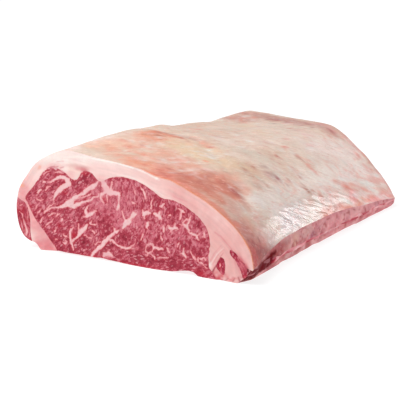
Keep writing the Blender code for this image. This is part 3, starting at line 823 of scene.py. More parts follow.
# Streaks of fat on its cut end, as (x, z, half width)
STRAP_STREAKS = [
    [(-117.5, 32, 0.3), (-114.5, 30, 0.5), (-113, 25, 0.5), (-111.8, 19, 0.4)],
    [(-111.6, 23, 0.4), (-110.5, 19, 1), (-109.6, 15, 1.4), (-110.2, 11, 0.8)],
    [(-108.5, 33, 0.3), (-107.8, 28, 0.5), (-108, 23, 0.3)],
    [(-116, 24, 0.3), (-114.8, 18, 0.6), (-113.5, 13, 0.3)], [(-116.5, 37.5, 0.6), (-114, 38.5, 0.5)],
    [(-107, 18, 0.3), (-106.6, 12, 0.5), (-107.4, 8.5, 0.3)],
]

strip = free_muscle("chine_strap", CHINE_STRIP, muscle_outline, muscle_rows)
x, y, z = places(strip)
stray_x = x + 0.4 * uneven(x, z, 3, 3, 61)
streaks = np.min([band_distance(stray_x, z, streak) for streak in STRAP_STREAKS], axis=0)
streaks = np.minimum(streaks, 1.5 + 1.6 * uneven(x - 0.16 * z, z, 1.9, 13, 60))
paint(strip, "vein", np.where(on_rib_cut(y), streaks, 1.4 + 2.2 * uneven(z, y, 3.4, 26, 62)))
paint(strip, "tone", 0.5 * uneven(z, y, 9, 30, 63) - 0.8 * np.exp(-(((z - 8) / 4) ** 2)))
paint(strip, "haze", 0.5 * np.exp(-(((z - 43.5) / 2.5) ** 2)) * on_rib_cut(y))
paint(strip, "vivid", bells(x, z, [(-105, 7, 4, 2, 1.0), (-116, 33, 3, 3, 0.5)]) * on_rib_cut(y))
dress(strip, dict.fromkeys(STAND_INS, lean_finish("strap_meat", [84], 0.7, 0.12)))
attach(strip, "root")
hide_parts("chine_strip")

# -------------------------------------------------------------------------------- tail strips
# Two slips of lean run through the fat of the tail, each cut out of the block. The outer one reaches the
# trimmed tail side: it is a wedge at the rib end, and thins behind it to a sheet whose edge shows as a dark
# line along the side.
TAIL_STRIP_INNER = [(92, 4.9), (88, 7.8), (85.4, 11.6), (88, 16.8), (90.3, 19.2), (93.6, 16), (94, 8)]
TAIL_STRIP_OUTER = [(113, 4.2), (110, 7.7), (108.2, 11.5), (104.5, 16.8), (100.2, 22), (98.6, 25),
                    (99.8, 26.8), (103.8, 24.2), (107.6, 20.5), (112, 17), (117.4, 12.2), (132, 10.5),
                    (132, 3)]
TAIL_SHEET = [(124, 5.6), (120, 5.8), (117, 6.2), (114.2, 7.2), (112.6, 9.2), (112.8, 11.4), (114.2, 12.2),
              (116, 11), (118.2, 9.3), (120.6, 8.4), (125, 8), (138, 7.8), (138, 5.4)]
SHEET_FROM = -122.0  # the wedge becomes the sheet between these two y
SHEET_TO = -98.0
PALER_OVER = 16.0  # and the lean on the tail side gets paler over this length
DARK_TIP = 114.0  # past this x the wedge's tip is dark on the cut face too

# Streaks of fat on the cut ends of the two slips, as (x, z, half width)
TAIL_STREAKS = [
    [(89.2, 14.4, 0.4), (89.4, 12.6, 1.1), (88.8, 11, 0.5)], [(88.6, 9.4, 0.3), (89.4, 8.6, 0.5)],
    [(107.4, 18.2, 0.3), (110, 15.6, 0.5), (112.4, 12.4, 0.3)],
    [(106.8, 16, 0.2), (109.2, 13, 0.4), (111.2, 9.6, 0.2)], [(105, 20.4, 0.2), (108.4, 18.8, 0.3)],
]


def outer_strip_outline(knots, y):
    """The outer strip's outline at y: a blend from the wedge to the sheet, moved with the cap's edge."""
    share = min(max((y - SHEET_FROM) / (SHEET_TO - SHEET_FROM), 0), 1)
    knots = np.array(knots, float) * (1 - share) + np.array(TAIL_SHEET) * share
    outline = curve(knots, np.linspace(0, 1, 60, endpoint=False), closed=True)
    edge_x = along(CAP_EDGE, np.array([y]))[0][0]
    return outline + (edge_x - CAP_EDGE[0][1], 0)


tail_meat = lean_finish("tail_meat", [112], 0.8, 0.01)
outer_rows = np.concatenate([muscle_rows[:3], np.arange(-158, HIP_END, 6), [HIP_END, 170.5, 176.5]])
inner = free_muscle("inner_tail_slip", TAIL_STRIP_INNER, muscle_outline, muscle_rows)
outer = free_muscle("outer_tail_slip", TAIL_STRIP_OUTER, outer_strip_outline, outer_rows)
for slip, node in ((inner, "tail_strip_inner"), (outer, "tail_strip_outer")):
    x, y, z = places(slip)
    streaks = np.min([band_distance(x, z, streak) for streak in TAIL_STREAKS], axis=0) + 0.3
    behind = np.clip((y - SHEET_FROM) / PALER_OVER, 0, 1)
    on_side = 2.4 - 2.7 * behind + 0.7 * uneven(y, z, 8, 3, 64)
    dark = (1 - behind) * ((y > RIB_END + RIB_FACE) | (x > DARK_TIP))
    paint(slip, "vein", np.where(on_rib_cut(y), streaks, on_side))
    paint(slip, "tone", 0.2 * uneven(x, z, 5, 5, 65) - 3.5 * dark)
    paint(slip, "haze", bells(x, z, [(110, 15, 5, 4, 0.35)]) * on_rib_cut(y))
    paint(slip, "vivid", 0.6 * bells(x, z, [(113, 6, 3, 2, 1.0), (91, 5, 4, 1.5, 0.8)]) * on_rib_cut(y))
    dress(slip, dict.fromkeys(STAND_INS, tail_meat))
    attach(slip, "root")
    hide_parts(node)

# -------------------------------------------------------------------------------- fat cap
# The fat is what is left of the block: the domed cap under its thin silvery membrane, the seams between the
# muscles and the trimmed tail. Rubbing and air have stained the membrane cream, orange and rust in patches.
# Its colours change from place to place, so they are worked out for each point and painted on it.
CAP_COLOURS = {
    "cream": tint(236, 212, 196), "yellow": tint(235, 203, 172), "beige": tint(226, 198, 180),
    "grey": tint(214, 202, 188), "pale": tint(236, 218, 208), "white": tint(240, 232, 228),
    "blush": tint(252, 226, 220), "peach": tint(245, 194, 170), "orange": tint(238, 160, 132),
    "coral": tint(236, 142, 124), "salmon": tint(234, 172, 150), "terracotta": tint(216, 134, 116),
    "brick": tint(194, 104, 92), "tan": tint(220, 182, 160), "dusty": tint(220, 178, 166),
    "rose": tint(208, 138, 130), "mauve": tint(202, 150, 138), "pink": tint(236, 184, 178),
    "plum": tint(168, 92, 98), "rust": tint(184, 104, 80), "red": tint(200, 80, 76),
    "bright": tint(255, 238, 230), "taupe": tint(202, 166, 164), "ruby": tint(206, 62, 58),
    "flush": tint(252, 164, 164), "petal": tint(252, 210, 206), "lilac": tint(224, 204, 206),
    "umber": tint(158, 78, 76), "garnet": tint(146, 30, 36), "amber": tint(238, 146, 108),
}

# Stains of the membrane, and a few marks of painted highlight, laid in turn, so that their order counts:
# colour, x, y, radius along x, radius along y, strength and, where a stain is turned, its turn in degrees
CAP_STAINS_AND_HIGHLIGHTS = [
    # Hip end
    ("bright", 46, 66, 62, 78, 0.22), ("bright", 94, 20, 20, 130, 0.8), ("bright", 84, 120, 20, 40, 0.5),
    ("dusty", -54, 122, 24, 14, 0.7), ("mauve", -12, 146, 70, 15, 0.95), ("mauve", -64, 118, 12, 10, 0.5),
    ("plum", -20, 141, 9, 6, 0.35), ("plum", -33, 140, 6, 5, 0.3), ("coral", -62, 147, 9, 7, 0.35),
    ("rose", 42, 146, 9, 10, 0.6), ("pink", 25, 153, 20, 5, 0.6), ("grey", -12, 120, 10, 6, 0.5),
    # The thin white line at y 164, along the hip-end rim, is painted highlight
    ("white", -35, 164, 40, 2, 0.3), ("bright", 68, 112, 22, 34, 0.75), ("cream", 70, 88, 7, 9, 0.7),
    ("grey", 4, 104, 22, 10, 0.35), ("rose", -20, 96, 9, 4, 0.35), ("pink", 35, 97, 4, 6, 0.6),
    # Middle
    ("yellow", -32, 84, 9, 15, 0.5), ("yellow", -2, 66, 5, 16, 0.5), ("yellow", 12, 52, 16, 12, 0.35),
    ("grey", -22, 31, 8, 8, 0.45), ("grey", -5, 26, 8, 5, 0.4), ("tan", -54, 50, 10, 26, 0.5),
    ("beige", -35, 0, 38, 40, 0.4), ("pale", 54, 72, 20, 10, 0.6), ("dusty", 30, 21, 7, 6, 0.5),
    ("pink", 50, 75, 3, 6, 0.7), ("rust", 60, 31, 5, 3, 0.5), ("coral", 69, 31, 3, 3, 0.5),
    ("red", 51, 1, 2.4, 3, 0.7), ("salmon", 45, 26, 5, 5, 0.3), ("coral", -38, 8, 5, 5, 0.5),
    ("salmon", -16, 14, 9, 4, 0.3), ("beige", 20, -8, 16, 8, 0.4), ("pale", 4, -16, 18, 7, 0.4),
    ("bright", 78, 55, 9, 12, 0.6), ("bright", 82, 78, 6, 14, 0.7), ("tan", 45, -4, 14, 10, 0.4),
    # Along the crease
    ("grey", 42, -28, 18, 11, 0.5), ("grey", 67, -37, 9, 7, 0.5), ("tan", 54, -68, 10, 24, 0.85),
    ("tan", 68, -72, 12, 14, 0.5), ("plum", 68, -43, 4.5, 2.5, 0.5), ("plum", 74, -38, 4, 2.5, 0.4),
    ("rust", 79, -26, 3, 2.5, 0.5), ("rust", 78, -2, 3, 3, 0.5), ("rust", 76, -78, 3, 4, 0.6),
    ("peach", -30, -80, 24, 26, 0.8), ("salmon", -34, -74, 20, 20, 0.85), ("orange", -44, -64, 7, 18, 0.85),
    ("orange", -26, -52, 7, 6, 0.8), ("orange", -30, -114, 8, 8, 0.7), ("orange", -24, -73, 6, 5, 0.4),
    ("orange", -16, -122, 8, 5, 0.5), ("mauve", -13, -41, 16, 6, 0.55), ("salmon", 4, -46, 14, 5, 0.6, -20),
    ("peach", -6, -62, 10, 12, 0.6), ("yellow", 12, -74, 36, 24, 0.95), ("white", 21, -70, 4, 4, 0.5),
    ("white", 27, -76, 5, 3, 0.5), ("orange", 30, -89, 3.5, 2.5, 0.8), ("cream", -17, -103, 9, 4, 0.7),
    # Below the crease
    ("salmon", 10, -108, 26, 14, 0.8, -20), ("salmon", 26, -124, 28, 16, 0.9),
    ("salmon", 64, -96, 18, 10, 0.8), ("terracotta", 66, -118, 22, 16, 0.95, -16),
    ("brick", 68, -110, 11, 6, 0.5, -20), ("plum", 74, -114, 6, 4.5, 0.55), ("brick", 71, -117, 10, 6, 0.5),
    # The pale patch at (90, -74) lies under the gloss and is partly painted highlight
    ("brick", 80, -120, 6, 4.5, 0.6), ("pale", 90, -74, 11, 38, 0.85), ("white", 88, -98, 8, 8, 0.4),
    ("dusty", 99, -118, 9, 7, 0.6), ("rose", 109, -130, 8, 10, 0.8),
    # Rib end
    ("blush", -76, -132, 19, 36, 0.9), ("peach", -46, -126, 17, 21, 0.85),
    ("orange", -2, -148, 28, 15, 0.85), ("peach", -4, -130, 12, 5, 0.5), ("orange", -38, -132, 10, 5, 0.6),
    ("coral", -45, -108, 8, 4, 0.35), ("coral", 30, -152, 20, 16, 0.95), ("red", 24, -150, 4, 3, 0.4),
    ("terracotta", 58, -143, 26, 24, 0.95), ("brick", 46, -138, 10, 7, 0.5), ("red", 43, -138, 5, 2.4, 0.5),
    ("coral", 56, -161, 46, 5, 0.75), ("dusty", 68, -134, 8, 5, 0.6), ("dusty", 84, -132, 8, 14, 0.5),
    ("dusty", 91, -146, 8, 18, 0.75), ("terracotta", 98, -162, 18, 5, 0.9),
    ("salmon", 101, -141, 5, 8, 0.6), ("coral", 100, -162, 8, 3, 0.7), ("peach", 12, -157, 12, 5, 0.7),
    # Smaller patches that lie over the rest
    ("pale", 64, -26, 10, 8, 0.5), ("pale", 65, 50, 8, 14, 0.5), ("bright", 54, 90, 9, 8, 0.5),
    ("salmon", 66, -102, 7, 7, 0.6), ("blush", 66, 148, 12, 9, 0.8), ("salmon", 18, -110, 8, 7, 0.5),
    # The bright patch at (96, -74), under the gloss, is partly painted highlight
    ("bright", 96, -74, 8, 12, 0.5), ("terracotta", 46, -140, 9, 7, 0.8),
    ("terracotta", 38, -126, 8, 6, 0.5), ("salmon", 9, -123, 8, 5, 0.7),
    ("terracotta", -41, -60, 5, 9, 0.75), ("brick", -37, -56, 7, 3, 0.5),
    ("terracotta", -28, -54, 10, 3.2, 0.7, 10), ("rust", -20, -52, 7, 2.4, 0.4),
    ("coral", 8, -50, 7, 3, 0.4), ("blush", 60, 102, 22, 36, 0.5), ("rose", 58, 164, 44, 4, 0.55),
    ("dusty", 22, 106, 9, 8, 0.6), ("cream", 50, 154, 8, 6, 0.6), ("mauve", -54, 116, 16, 12, 0.5),
    ("mauve", -34, 134, 14, 8, 0.6), ("salmon", 18, -112, 12, 7, 0.4), ("salmon", -6, -122, 9, 6, 0.5),
    ("salmon", -30, -70, 8, 9, 0.5), ("dusty", 69, -96, 8, 7, 0.6), ("dusty", 77, -74, 6, 8, 0.5),
    ("terracotta", 64, -130, 6, 6, 0.6), ("blush", 58, 158, 12, 6, 0.6), ("pale", 65, 52, 6, 10, 0.5),
    ("peach", 15, -149, 6, 5, 0.5), ("pink", 56, 161, 14, 6, 0.8), ("salmon", 78, -97, 5, 7, 0.6),
    ("dusty", 70, -96, 6, 6, 0.6), ("terracotta", 66, -131, 6, 6, 0.6), ("terracotta", 78, -124, 6, 5, 0.7),
    ("salmon", 58, -109, 7, 4, 0.7), ("salmon", -31, -84, 12, 14, 0.5), ("rose", 3, 131, 10, 5, 0.5),
    ("rust", 91, -10, 3.5, 3.5, 0.8), ("coral", 95, 6, 4, 5, 0.8), ("tan", 97, -11, 5, 4, 0.35),
    # The pale shoulder on the chine side
    ("blush", -100, -90, 18, 90, 0.8),
]

# Stains on the steep slope by the lower edge, and a patch of painted highlight under the gloss, placed by
# how far down the slope they lie in place of x
SLOPE_STAINS_AND_HIGHLIGHT = [
    ("rose", 116, -154, 18, 16, 0.9), ("brick", 136, -150, 18, 26, 1.0), ("garnet", 146, -150, 14, 28, 1.0),
    ("ruby", 139, -156, 14, 10, 0.7), ("garnet", 138, -142, 7, 8, 0.6), ("rose", 124, -150, 10, 14, 0.7),
    ("umber", 142, -118, 10, 30, 0.9), ("coral", 126, 16, 8, 30, 0.7), ("coral", 120, 88, 9, 22, 0.7),
    ("coral", 106, 60, 6, 7, 0.6), ("salmon", 84, -30, 8, 5, 0.4), ("peach", 106, 104, 8, 6, 0.6),
    # The bright patch at (106, -84) is painted highlight under the gloss
    ("rose", 128, -128, 6, 8, 0.5), ("taupe", 128, -110, 9, 11, 0.7), ("bright", 106, -84, 8, 16, 0.7),
    ("lilac", 122, -66, 13, 26, 0.7), ("lilac", 112, -60, 14, 34, 0.4), ("coral", 104, -157, 5, 5, 0.6),
    ("salmon", 108, -18, 6, 8, 0.5), ("salmon", 108, -32, 6, 5, 0.4), ("dusty", 108, 6, 6, 5, 0.6),
    ("coral", 131, 58, 3.5, 66, 0.85), ("coral", 130, 8, 5, 12, 0.8), ("rose", 126, 27, 5, 9, 0.7),
    ("bright", 98, 20, 7, 6, 0.8), ("coral", 104, 22, 8, 3, 0.5, 40), ("pink", 112, 22, 8, 16, 0.4),
    ("coral", 95, 54, 6, 5, 0.6, 40), ("bright", 117, 54, 7, 8, 0.9, 40), ("coral", 109, 69, 8, 5, 0.9, 50),
    ("salmon", 118, 86, 8, 7, 0.85, 40), ("coral", 122, 76, 5, 7, 0.7), ("peach", 106, 82, 8, 5, 0.7, 40),
    ("bright", 98, 94, 9, 6, 0.5, 50), ("coral", 129, 108, 7, 12, 0.85), ("salmon", 118, 108, 6, 8, 0.5),
    ("bright", 112, 124, 10, 10, 0.7, 40), ("pink", 132, 140, 6, 12, 0.85), ("blush", 112, 156, 12, 7, 0.7),
    ("pink", 134, 159, 8, 7, 0.85), ("coral", 131, 136, 3, 6, 0.5), ("rose", 116, 164, 30, 4, 0.55),
    ("petal", 104, 146, 20, 22, 0.6), ("petal", 100, 90, 20, 30, 0.3), ("flush", 119, 71, 8, 10, 0.9, 30),
    ("flush", 135, 120, 7, 12, 0.9), ("flush", 138, 144, 9, 16, 1.0), ("brick", 125, 24, 4, 5, 0.6),
    ("coral", 127, 36, 5, 12, 0.6), ("bright", 111, 52, 5, 6, 0.5), ("salmon", 127, 86, 5, 9, 0.6),
    ("blush", 112, 152, 9, 7, 0.6), ("blush", 122, 114, 5, 5, 0.6),
]

# Clusters of short flecks, the white ones round (0, 130) painted highlights: colour, how far down the slope,
# y, spread down it, spread along y, number
CAP_FLECKS_AND_GLINTS = [
    ("orange", -30, -72, 16, 22, 30), ("brick", -24, -48, 16, 8, 10), ("orange", -6, -118, 18, 16, 20),
    ("white", 20, -72, 16, 12, 30), ("coral", 62, 34, 14, 10, 10), ("pink", 45, 75, 18, 26, 10),
    ("plum", 68, -42, 14, 8, 12), ("rust", 96, -4, 8, 10, 6), ("brick", 50, -132, 14, 10, 16),
    ("brick", 64, -114, 20, 10, 20), ("coral", 76, 130, 18, 30, 20), ("plum", -14, 136, 36, 14, 16),
    ("pale", -10, -136, 20, 10, 8), ("tan", 0, 30, 45, 45, 34), ("white", 0, 20, 50, 50, 50),
    ("coral", -50, 118, 12, 14, 10), ("garnet", 130, -146, 12, 12, 20), ("pink", 112, -128, 10, 10, 8),
    ("ruby", 136, -152, 8, 12, 12), ("grey", 20, 100, 40, 30, 24), ("red", 26, -152, 20, 6, 10),
    ("salmon", 60, -136, 22, 16, 24), ("rose", 60, -10, 30, 20, 8), ("blush", 24, -116, 24, 14, 16),
    ("grey", 66, -66, 16, 18, 20), ("rust", 64, -66, 12, 14, 8), ("white", -30, -80, 20, 24, 20),
    ("white", 108, 96, 16, 50, 50), ("red", 20, 0, 60, 80, 8), ("mauve", 10, -10, 40, 20, 16),
    ("orange", 10, -150, 20, 10, 14), ("brick", 36, -136, 24, 12, 16), ("coral", 0, -128, 26, 18, 26),
    # The white flecks round (0, 130) are painted highlights
    ("white", 0, 130, 44, 20, 22), ("plum", -10, 142, 44, 10, 14), ("rust", -34, -62, 12, 14, 12),
    ("white", 20, -128, 26, 14, 14),
]

# Colours of the cut fat at the rib end, and its stains and a few painted highlights: colour, x, z, radius
# along x, radius along z, strength and turn
CUT_COLOURS = {
    "fat": tint(249, 214, 209), "bright": tint(255, 238, 232), "rosy": tint(232, 172, 168),
    "flesh": tint(236, 164, 166), "raw": tint(222, 126, 134), "haze": tint(206, 98, 110),
    "waxy": tint(236, 208, 196), "gleam": tint(255, 251, 246), "orange": tint(240, 160, 128),
    "blood": tint(170, 62, 74), "crumb": tint(206, 70, 84),
}
CUT_STAINS_AND_HIGHLIGHTS = [
    # The bright bands along the top margin, at (-72, 84) and (-30, 87), are painted highlight
    ("bright", -72, 84, 30, 9, 0.8), ("bright", -30, 87, 32, 4, 0.7, -4),
    ("rosy", 70, 52, 44, 16, 0.75, -38), ("rosy", 36, 72, 30, 5, 0.3, -16), ("rosy", 100, 24, 24, 26, 0.7),
    ("flesh", -99, 34, 16, 34, 0.85, 30), ("raw", -92, 16, 14, 12, 0.3, 20),
    ("flesh", -112, 46, 6, 14, 0.6), ("raw", -86, 4, 18, 8, 0.8), ("waxy", -54, 77, 8, 3.5, 0.6),
    ("haze", -46, 77, 7, 2.6, 0.75), ("flesh", -58, 70, 5, 5, 0.4), ("flesh", -26, 71, 7, 4, 0.4),
    ("flesh", 86, 10, 7, 12, 0.5), ("raw", 92, 2, 26, 5, 0.85), ("rosy", 98, 14, 14, 16, 0.5),
    ("orange", -112, 56, 2.5, 2, 0.7), ("orange", -93, 74, 3, 1.6, 0.6, 40),
    # The bright speck at (29, 77) is a painted glint on a fat lump at the rim
    ("flesh", 50, 63, 14, 2, 0.4, -20), ("bright", 29, 77, 1.6, 1.2, 1.0), ("bright", 80, 12, 2, 3, 0.5),
    ("flesh", -78, 76, 12, 3, 0.5, 10), ("rosy", -50, 79, 16, 2, 0.4), ("raw", 109, 14, 5, 11, 0.6, 35),
    ("haze", 112, 14, 3, 9, 0.8, 35), ("blood", 115, 10, 3, 4.5, 0.8, 35), ("raw", 88, 4, 8, 5, 0.5),
    ("rosy", 97, 8, 10, 9, 0.5),
]

# Lines on the cut fat, some of them painted highlights along its top edge: colour, strength, and a band
# through points (x, z, half width)
CUT_LINES = [
    ("blood", 0.9, [(80.2, 0, 0.9), (81.4, 4.3, 0.7), (83.6, 8.6, 0.7), (85.7, 12.1, 0.5)]),
    ("haze", 0.6, [(86.5, 14.5, 0.5), (89, 19, 0.4), (92, 23, 0.3)]),
    ("raw", 0.5, [(-73, 81, 0.3), (-66, 82, 0.3)]),
    ("raw", 0.4, [(45, 64, 0.3), (52, 62, 0.4), (58, 61, 0.3)]),
    ("raw", 0.7, [(84, 39, 0.4), (90, 36, 0.5), (100, 27, 0.4)]),
    ("blood", 0.7, [(106, 5, 0.5), (107.5, 2, 0.7)]),
    ("haze", 0.8, [(-84, 73.5, 0.5), (-80, 75.5, 0.6), (-76, 76.5, 0.3)]),
    ("haze", 0.7, [(-78, 75.2, 0.4), (-72, 76.8, 0.4)]), ("haze", 0.7, [(-70, 75.6, 0.4), (-66, 77, 0.3)]),
    # The bright and gleam lines along the top edge, down to (32, 75.6), are painted highlights
    ("bright", 0.8, [(-65, 85.6, 0.4), (-50, 87.3, 0.9), (-36, 87.1, 0.7), (-22, 86.4, 0.3)]),
    ("gleam", 0.7, [(-36, 87, 0.3), (-24, 86.5, 0.8), (-12, 86, 0.4), (-2, 85, 1.3), (6, 83.4, 0.9)]),
    ("gleam", 0.6, [(8, 82.8, 0.3), (15, 81.3, 0.8), (20, 79.8, 0.3), (26, 77.7, 0.7), (32, 75.6, 0.2)]),
    ("bright", 0.6, [(-10, 76, 0.3), (2, 75.7, 0.4), (18, 71.6, 0.4), (29, 66, 0.3), (36, 63.1, 0.2)]),
    ("raw", 0.45, [(79, 13, 0.3), (84, 22, 0.4), (91, 30, 0.2)]),
    ("bright", 0.5, [(81, 13, 0.5), (86, 21, 0.5), (92, 27, 0.2)]),
    ("raw", 0.35, [(83, 14, 0.3), (88, 22, 0.4), (93, 26, 0.2)]),
    ("blood", 0.6, [(69, 1, 0.5), (72, 3, 0.4)]), ("blood", 0.5, [(94, 0.5, 0.6), (97, 3, 0.4)]),
    ("blood", 0.5, [(101, 1, 0.5), (103, 4, 0.3)]),
]

# Colours of the trimmed sides, and the tail side's stains: colour, y, z, radius along y, radius along z,
# strength and turn. A dark cleft runs up the tail side from the corner, as (y, z, half width).
SIDE_COLOURS = {
    "rosy": tint(206, 132, 138), "pale": tint(230, 172, 172), "sandy": tint(212, 164, 158),
    "warm": tint(224, 170, 156), "raw": tint(176, 92, 94), "deep": tint(130, 50, 58),
    "dark": tint(104, 14, 22), "pink": tint(232, 154, 160), "crimson": tint(196, 88, 98),
    "plum": tint(158, 92, 108), "milky": tint(240, 200, 196), "veiled": tint(230, 160, 160),
}
SIDE_STAINS = [
    ("sandy", -84, 11, 14, 9, 0.9), ("warm", -64, 15, 8, 6, 0.85), ("raw", -71, 9, 3, 7, 0.7, -20),
    ("raw", -60, 4, 7, 4, 0.85), ("sandy", -42, 15, 12, 5, 0.5), ("raw", -36, 4, 6, 3.5, 0.85),
    ("plum", -29, 11, 5, 3.5, 0.8, 20), ("raw", -48, 8, 4, 3, 0.5), ("plum", -13, 14, 5, 2, 0.5),
    ("raw", -12, 4, 6, 2.5, 0.5), ("raw", -108, 11, 22, 10, 0.85), ("deep", -120, 6, 8, 4, 0.85),
    ("deep", -104, 7, 5, 2.6, 0.6), ("deep", -138, 11, 22, 5, 0.75), ("crimson", 34, 5, 30, 1.4, 0.5),
    ("crimson", 12, 10, 7, 2, 0.4), ("pink", 30, 12, 40, 12, 0.5), ("pink", 104, 9, 30, 12, 0.4),
    ("rosy", 150, 8, 20, 12, 0.7), ("crimson", 92, 4, 12, 1.6, 0.4), ("crimson", 128, 3, 8, 2, 0.5),
    ("pale", 60, 15, 30, 4, 0.5), ("plum", 66, 7, 4, 2.5, 0.4), ("plum", 120, 11, 5, 3, 0.4),
]
TAIL_CLEFT = [(-168, 5, 5.5), (-152, 6, 5.2), (-138, 7.5, 4.2), (-126, 9.5, 2.8), (-114, 12.5, 1.8),
              (-104, 13.5, 0.8)]

# Where the cap falls steeply, below STEEP_BELOW, a place down the slope is x and SLOPE_SHARE of its drop
STEEP_BELOW = 50.0
SLOPE_SHARE = 0.9
FLECK_FAR = 13.0  # a fleck is worked out for the points this near to it
TAIL_SIDE_FROM = 84.0  # the trimmed faces past this x are the tail side

# Where the membrane is wet and glossy: x, y, radius along x, radius along y, strength
GLOSS = [(104, -74, 12, 36, 1.1), (101, -6, 10, 34, 0.9), (99, 60, 8, 40, 0.4)]


def over(base, colour, share):
    """The base colours with a colour laid over them, by a share from 0 to 1 at each point."""
    return base + (colour - base) * share[:, None]


def stained(u, v, down, base, colours, stains, ragged):
    """The base colours with stains, and the few painted highlights among them, laid over them in turn. Each
    is a flat-topped bell at places that stray by a share of its radius, broken up by blotches. Down is u, or
    how far down the slope a point lies."""
    stray_u = ragged * (uneven(down, v, 11, 12, 71) + 0.7 * uneven(down, v, 4.5, 5, 72))
    stray_v = ragged * (uneven(down, v, 11, 12, 73) + 0.7 * uneven(down, v, 4.5, 5, 74))
    blotch = 1 + 0.16 * uneven(down, v, 6, 6, 75) + 0.16 * uneven(down, v, 2.6, 3, 76)
    for name, at_u, at_v, reach_u, reach_v, strength, *turned in stains:
        turn = math.radians(turned[0]) if turned else 0
        cos = math.cos(turn)
        sin = math.sin(turn)
        away_u = ((u - at_u) * cos + (v - at_v) * sin) / reach_u + stray_u
        away_v = ((v - at_v) * cos - (u - at_u) * sin) / reach_v + stray_v
        mask = strength * np.exp(-((away_u**2 + away_v**2) ** 1.6)) * blotch
        base = over(base, colours[name], np.clip(mask, 0, 1))
    return base


def flecked(down, y, base, colours, clusters):
    """The base colours with clusters of short crooked flecks, each a narrow turned bell at a random
    place."""
    base = base.copy()
    random = np.random.default_rng(77)
    crook_down = 1.2 * uneven(down, y, 4, 5, 78)
    crook_y = 1.2 * uneven(down, y, 4, 5, 88)
    for name, at_down, at_y, spread_down, spread_y, count in clusters:
        for _ in range(count):
            u, v = random.normal((at_down, at_y), (spread_down * 0.7, spread_y * 0.7))
            long, wide = random.uniform((1.8, 1), (5, 3.2))
            turn = random.normal(0.8, 0.5)
            near = (np.abs(down - u) < FLECK_FAR) & (np.abs(y - v) < FLECK_FAR)
            step_down = down[near] - u + crook_down[near]
            step_y = y[near] - v + crook_y[near]
            lengthwise = (step_down * math.cos(turn) + step_y * math.sin(turn)) / long
            across = (step_y * math.cos(turn) - step_down * math.sin(turn)) / wide
            mask = random.uniform(0.15, 0.6) * np.exp(-(lengthwise**2) - across**2)
            base[near] = over(base[near], colours[name], mask)
    return base


def threads(u, v, size_u, size_v, seed):
    """Crooked lines, 1 on the line and 0 a little away: where smooth noise crosses zero, in some patches."""
    line = np.clip(1 - np.abs(uneven(u, v, size_u, size_v, seed)) / 0.16, 0, 1)
    return line * np.clip(1.6 * uneven(u, v, 26, 24, seed + 1), 0, 1)


def cap_colour(x, y, z):
    """The membrane's colour: cream and beige clouds, the stains and flecks with a few painted highlights
    among them, white and red threads, then slanting streaks near its lower edge, and an orange rim along the
    rib-end cut."""
    down = x + SLOPE_SHARE * np.maximum(STEEP_BELOW - z, 0)
    cloud = 0.5 + 0.5 * uneven(down, y, 18, 16, 79) + 0.35 * uneven(down, y, 7, 7, 80)
    base = over(CAP_COLOURS["cream"], CAP_COLOURS["beige"], np.clip(cloud, 0, 1))
    base = stained(x, y, down, base, CAP_COLOURS, CAP_STAINS_AND_HIGHLIGHTS, 0.3)
    base = stained(down, y, down, base, CAP_COLOURS, SLOPE_STAINS_AND_HIGHLIGHT, 0.2)
    base = flecked(down, y, base, CAP_COLOURS, CAP_FLECKS_AND_GLINTS)
    base = over(base, CAP_COLOURS["white"], 0.4 * threads(down, y, 6, 8, 121))
    base = over(base, CAP_COLOURS["coral"], 0.3 * threads(down, y, 7, 9, 123))
    low = np.clip((x - 80) / 12, 0, 1) * np.clip((y + 20) / 90, 0.1, 1)
    streak = uneven(down, y - 1.6 * down, 8, 9, 81)
    base = over(base, CAP_COLOURS["coral"], 0.45 * low * np.clip(streak * 1.6, 0, 1))
    base = over(base, CAP_COLOURS["white"], 0.45 * low * np.clip(-streak * 1.6, 0, 1))
    rim = np.exp(-(((y - RIB_END) / 2.4) ** 2)) * np.clip((x - 8) / 20, 0, 1)
    rim = rim * (0.75 + 0.4 * uneven(x, y, 5, 5, 85))
    base = over(base, CAP_COLOURS["amber"], np.clip(rim, 0, 1))
    return base * (1 + 0.035 * uneven(down, y, 5, 5, 82) + 0.035 * uneven(down, y, 2.6, 2.4, 125))[:, None]


def cut_colour(x, z):
    """The colour of sliced fat: stains, layers that run along the cap, red and pale crumbs low down in the
    tail, lines, painted highlights along the top edge, and a thin orange rim under the stained part of the
    membrane."""
    outline = curve(RIB_END_CAP, np.linspace(0, 1, 60))
    below = band_distance(x, z, np.column_stack([outline, np.zeros(60)]))
    base = np.tile(CUT_COLOURS["fat"], (len(x), 1))
    base = stained(x, z, x, base, CUT_COLOURS, CUT_STAINS_AND_HIGHLIGHTS, 0.25)
    layers = 0.05 * uneven(x, below, 24, 1.6, 83) + 0.03 * uneven(x, below, 7, 1.1, 84)
    base = base * (1 + layers)[:, None]
    crumbs = np.clip(1 - z / 8, 0, 1) * np.clip((x - 60) / 6, 0, 1) * uneven(x, z, 2.6, 2, 94)
    base = over(base, CUT_COLOURS["crumb"], np.clip(1.5 * crumbs, 0, 0.8))
    base = over(base, CUT_COLOURS["bright"], np.clip(-0.8 * crumbs, 0, 0.35))
    for name, strength, path in CUT_LINES:
        near = np.clip(0.5 - band_distance(x, z, path) / 0.9, 0, 1)
        base = over(base, CUT_COLOURS[name], strength * near)
    rim = np.clip(1.2 - below, 0, 1) * np.clip((x - 14) / 16, 0, 1) * (0.6 + 0.4 * uneven(x, z, 6, 6, 85))
    return over(base, CUT_COLOURS["orange"], rim)


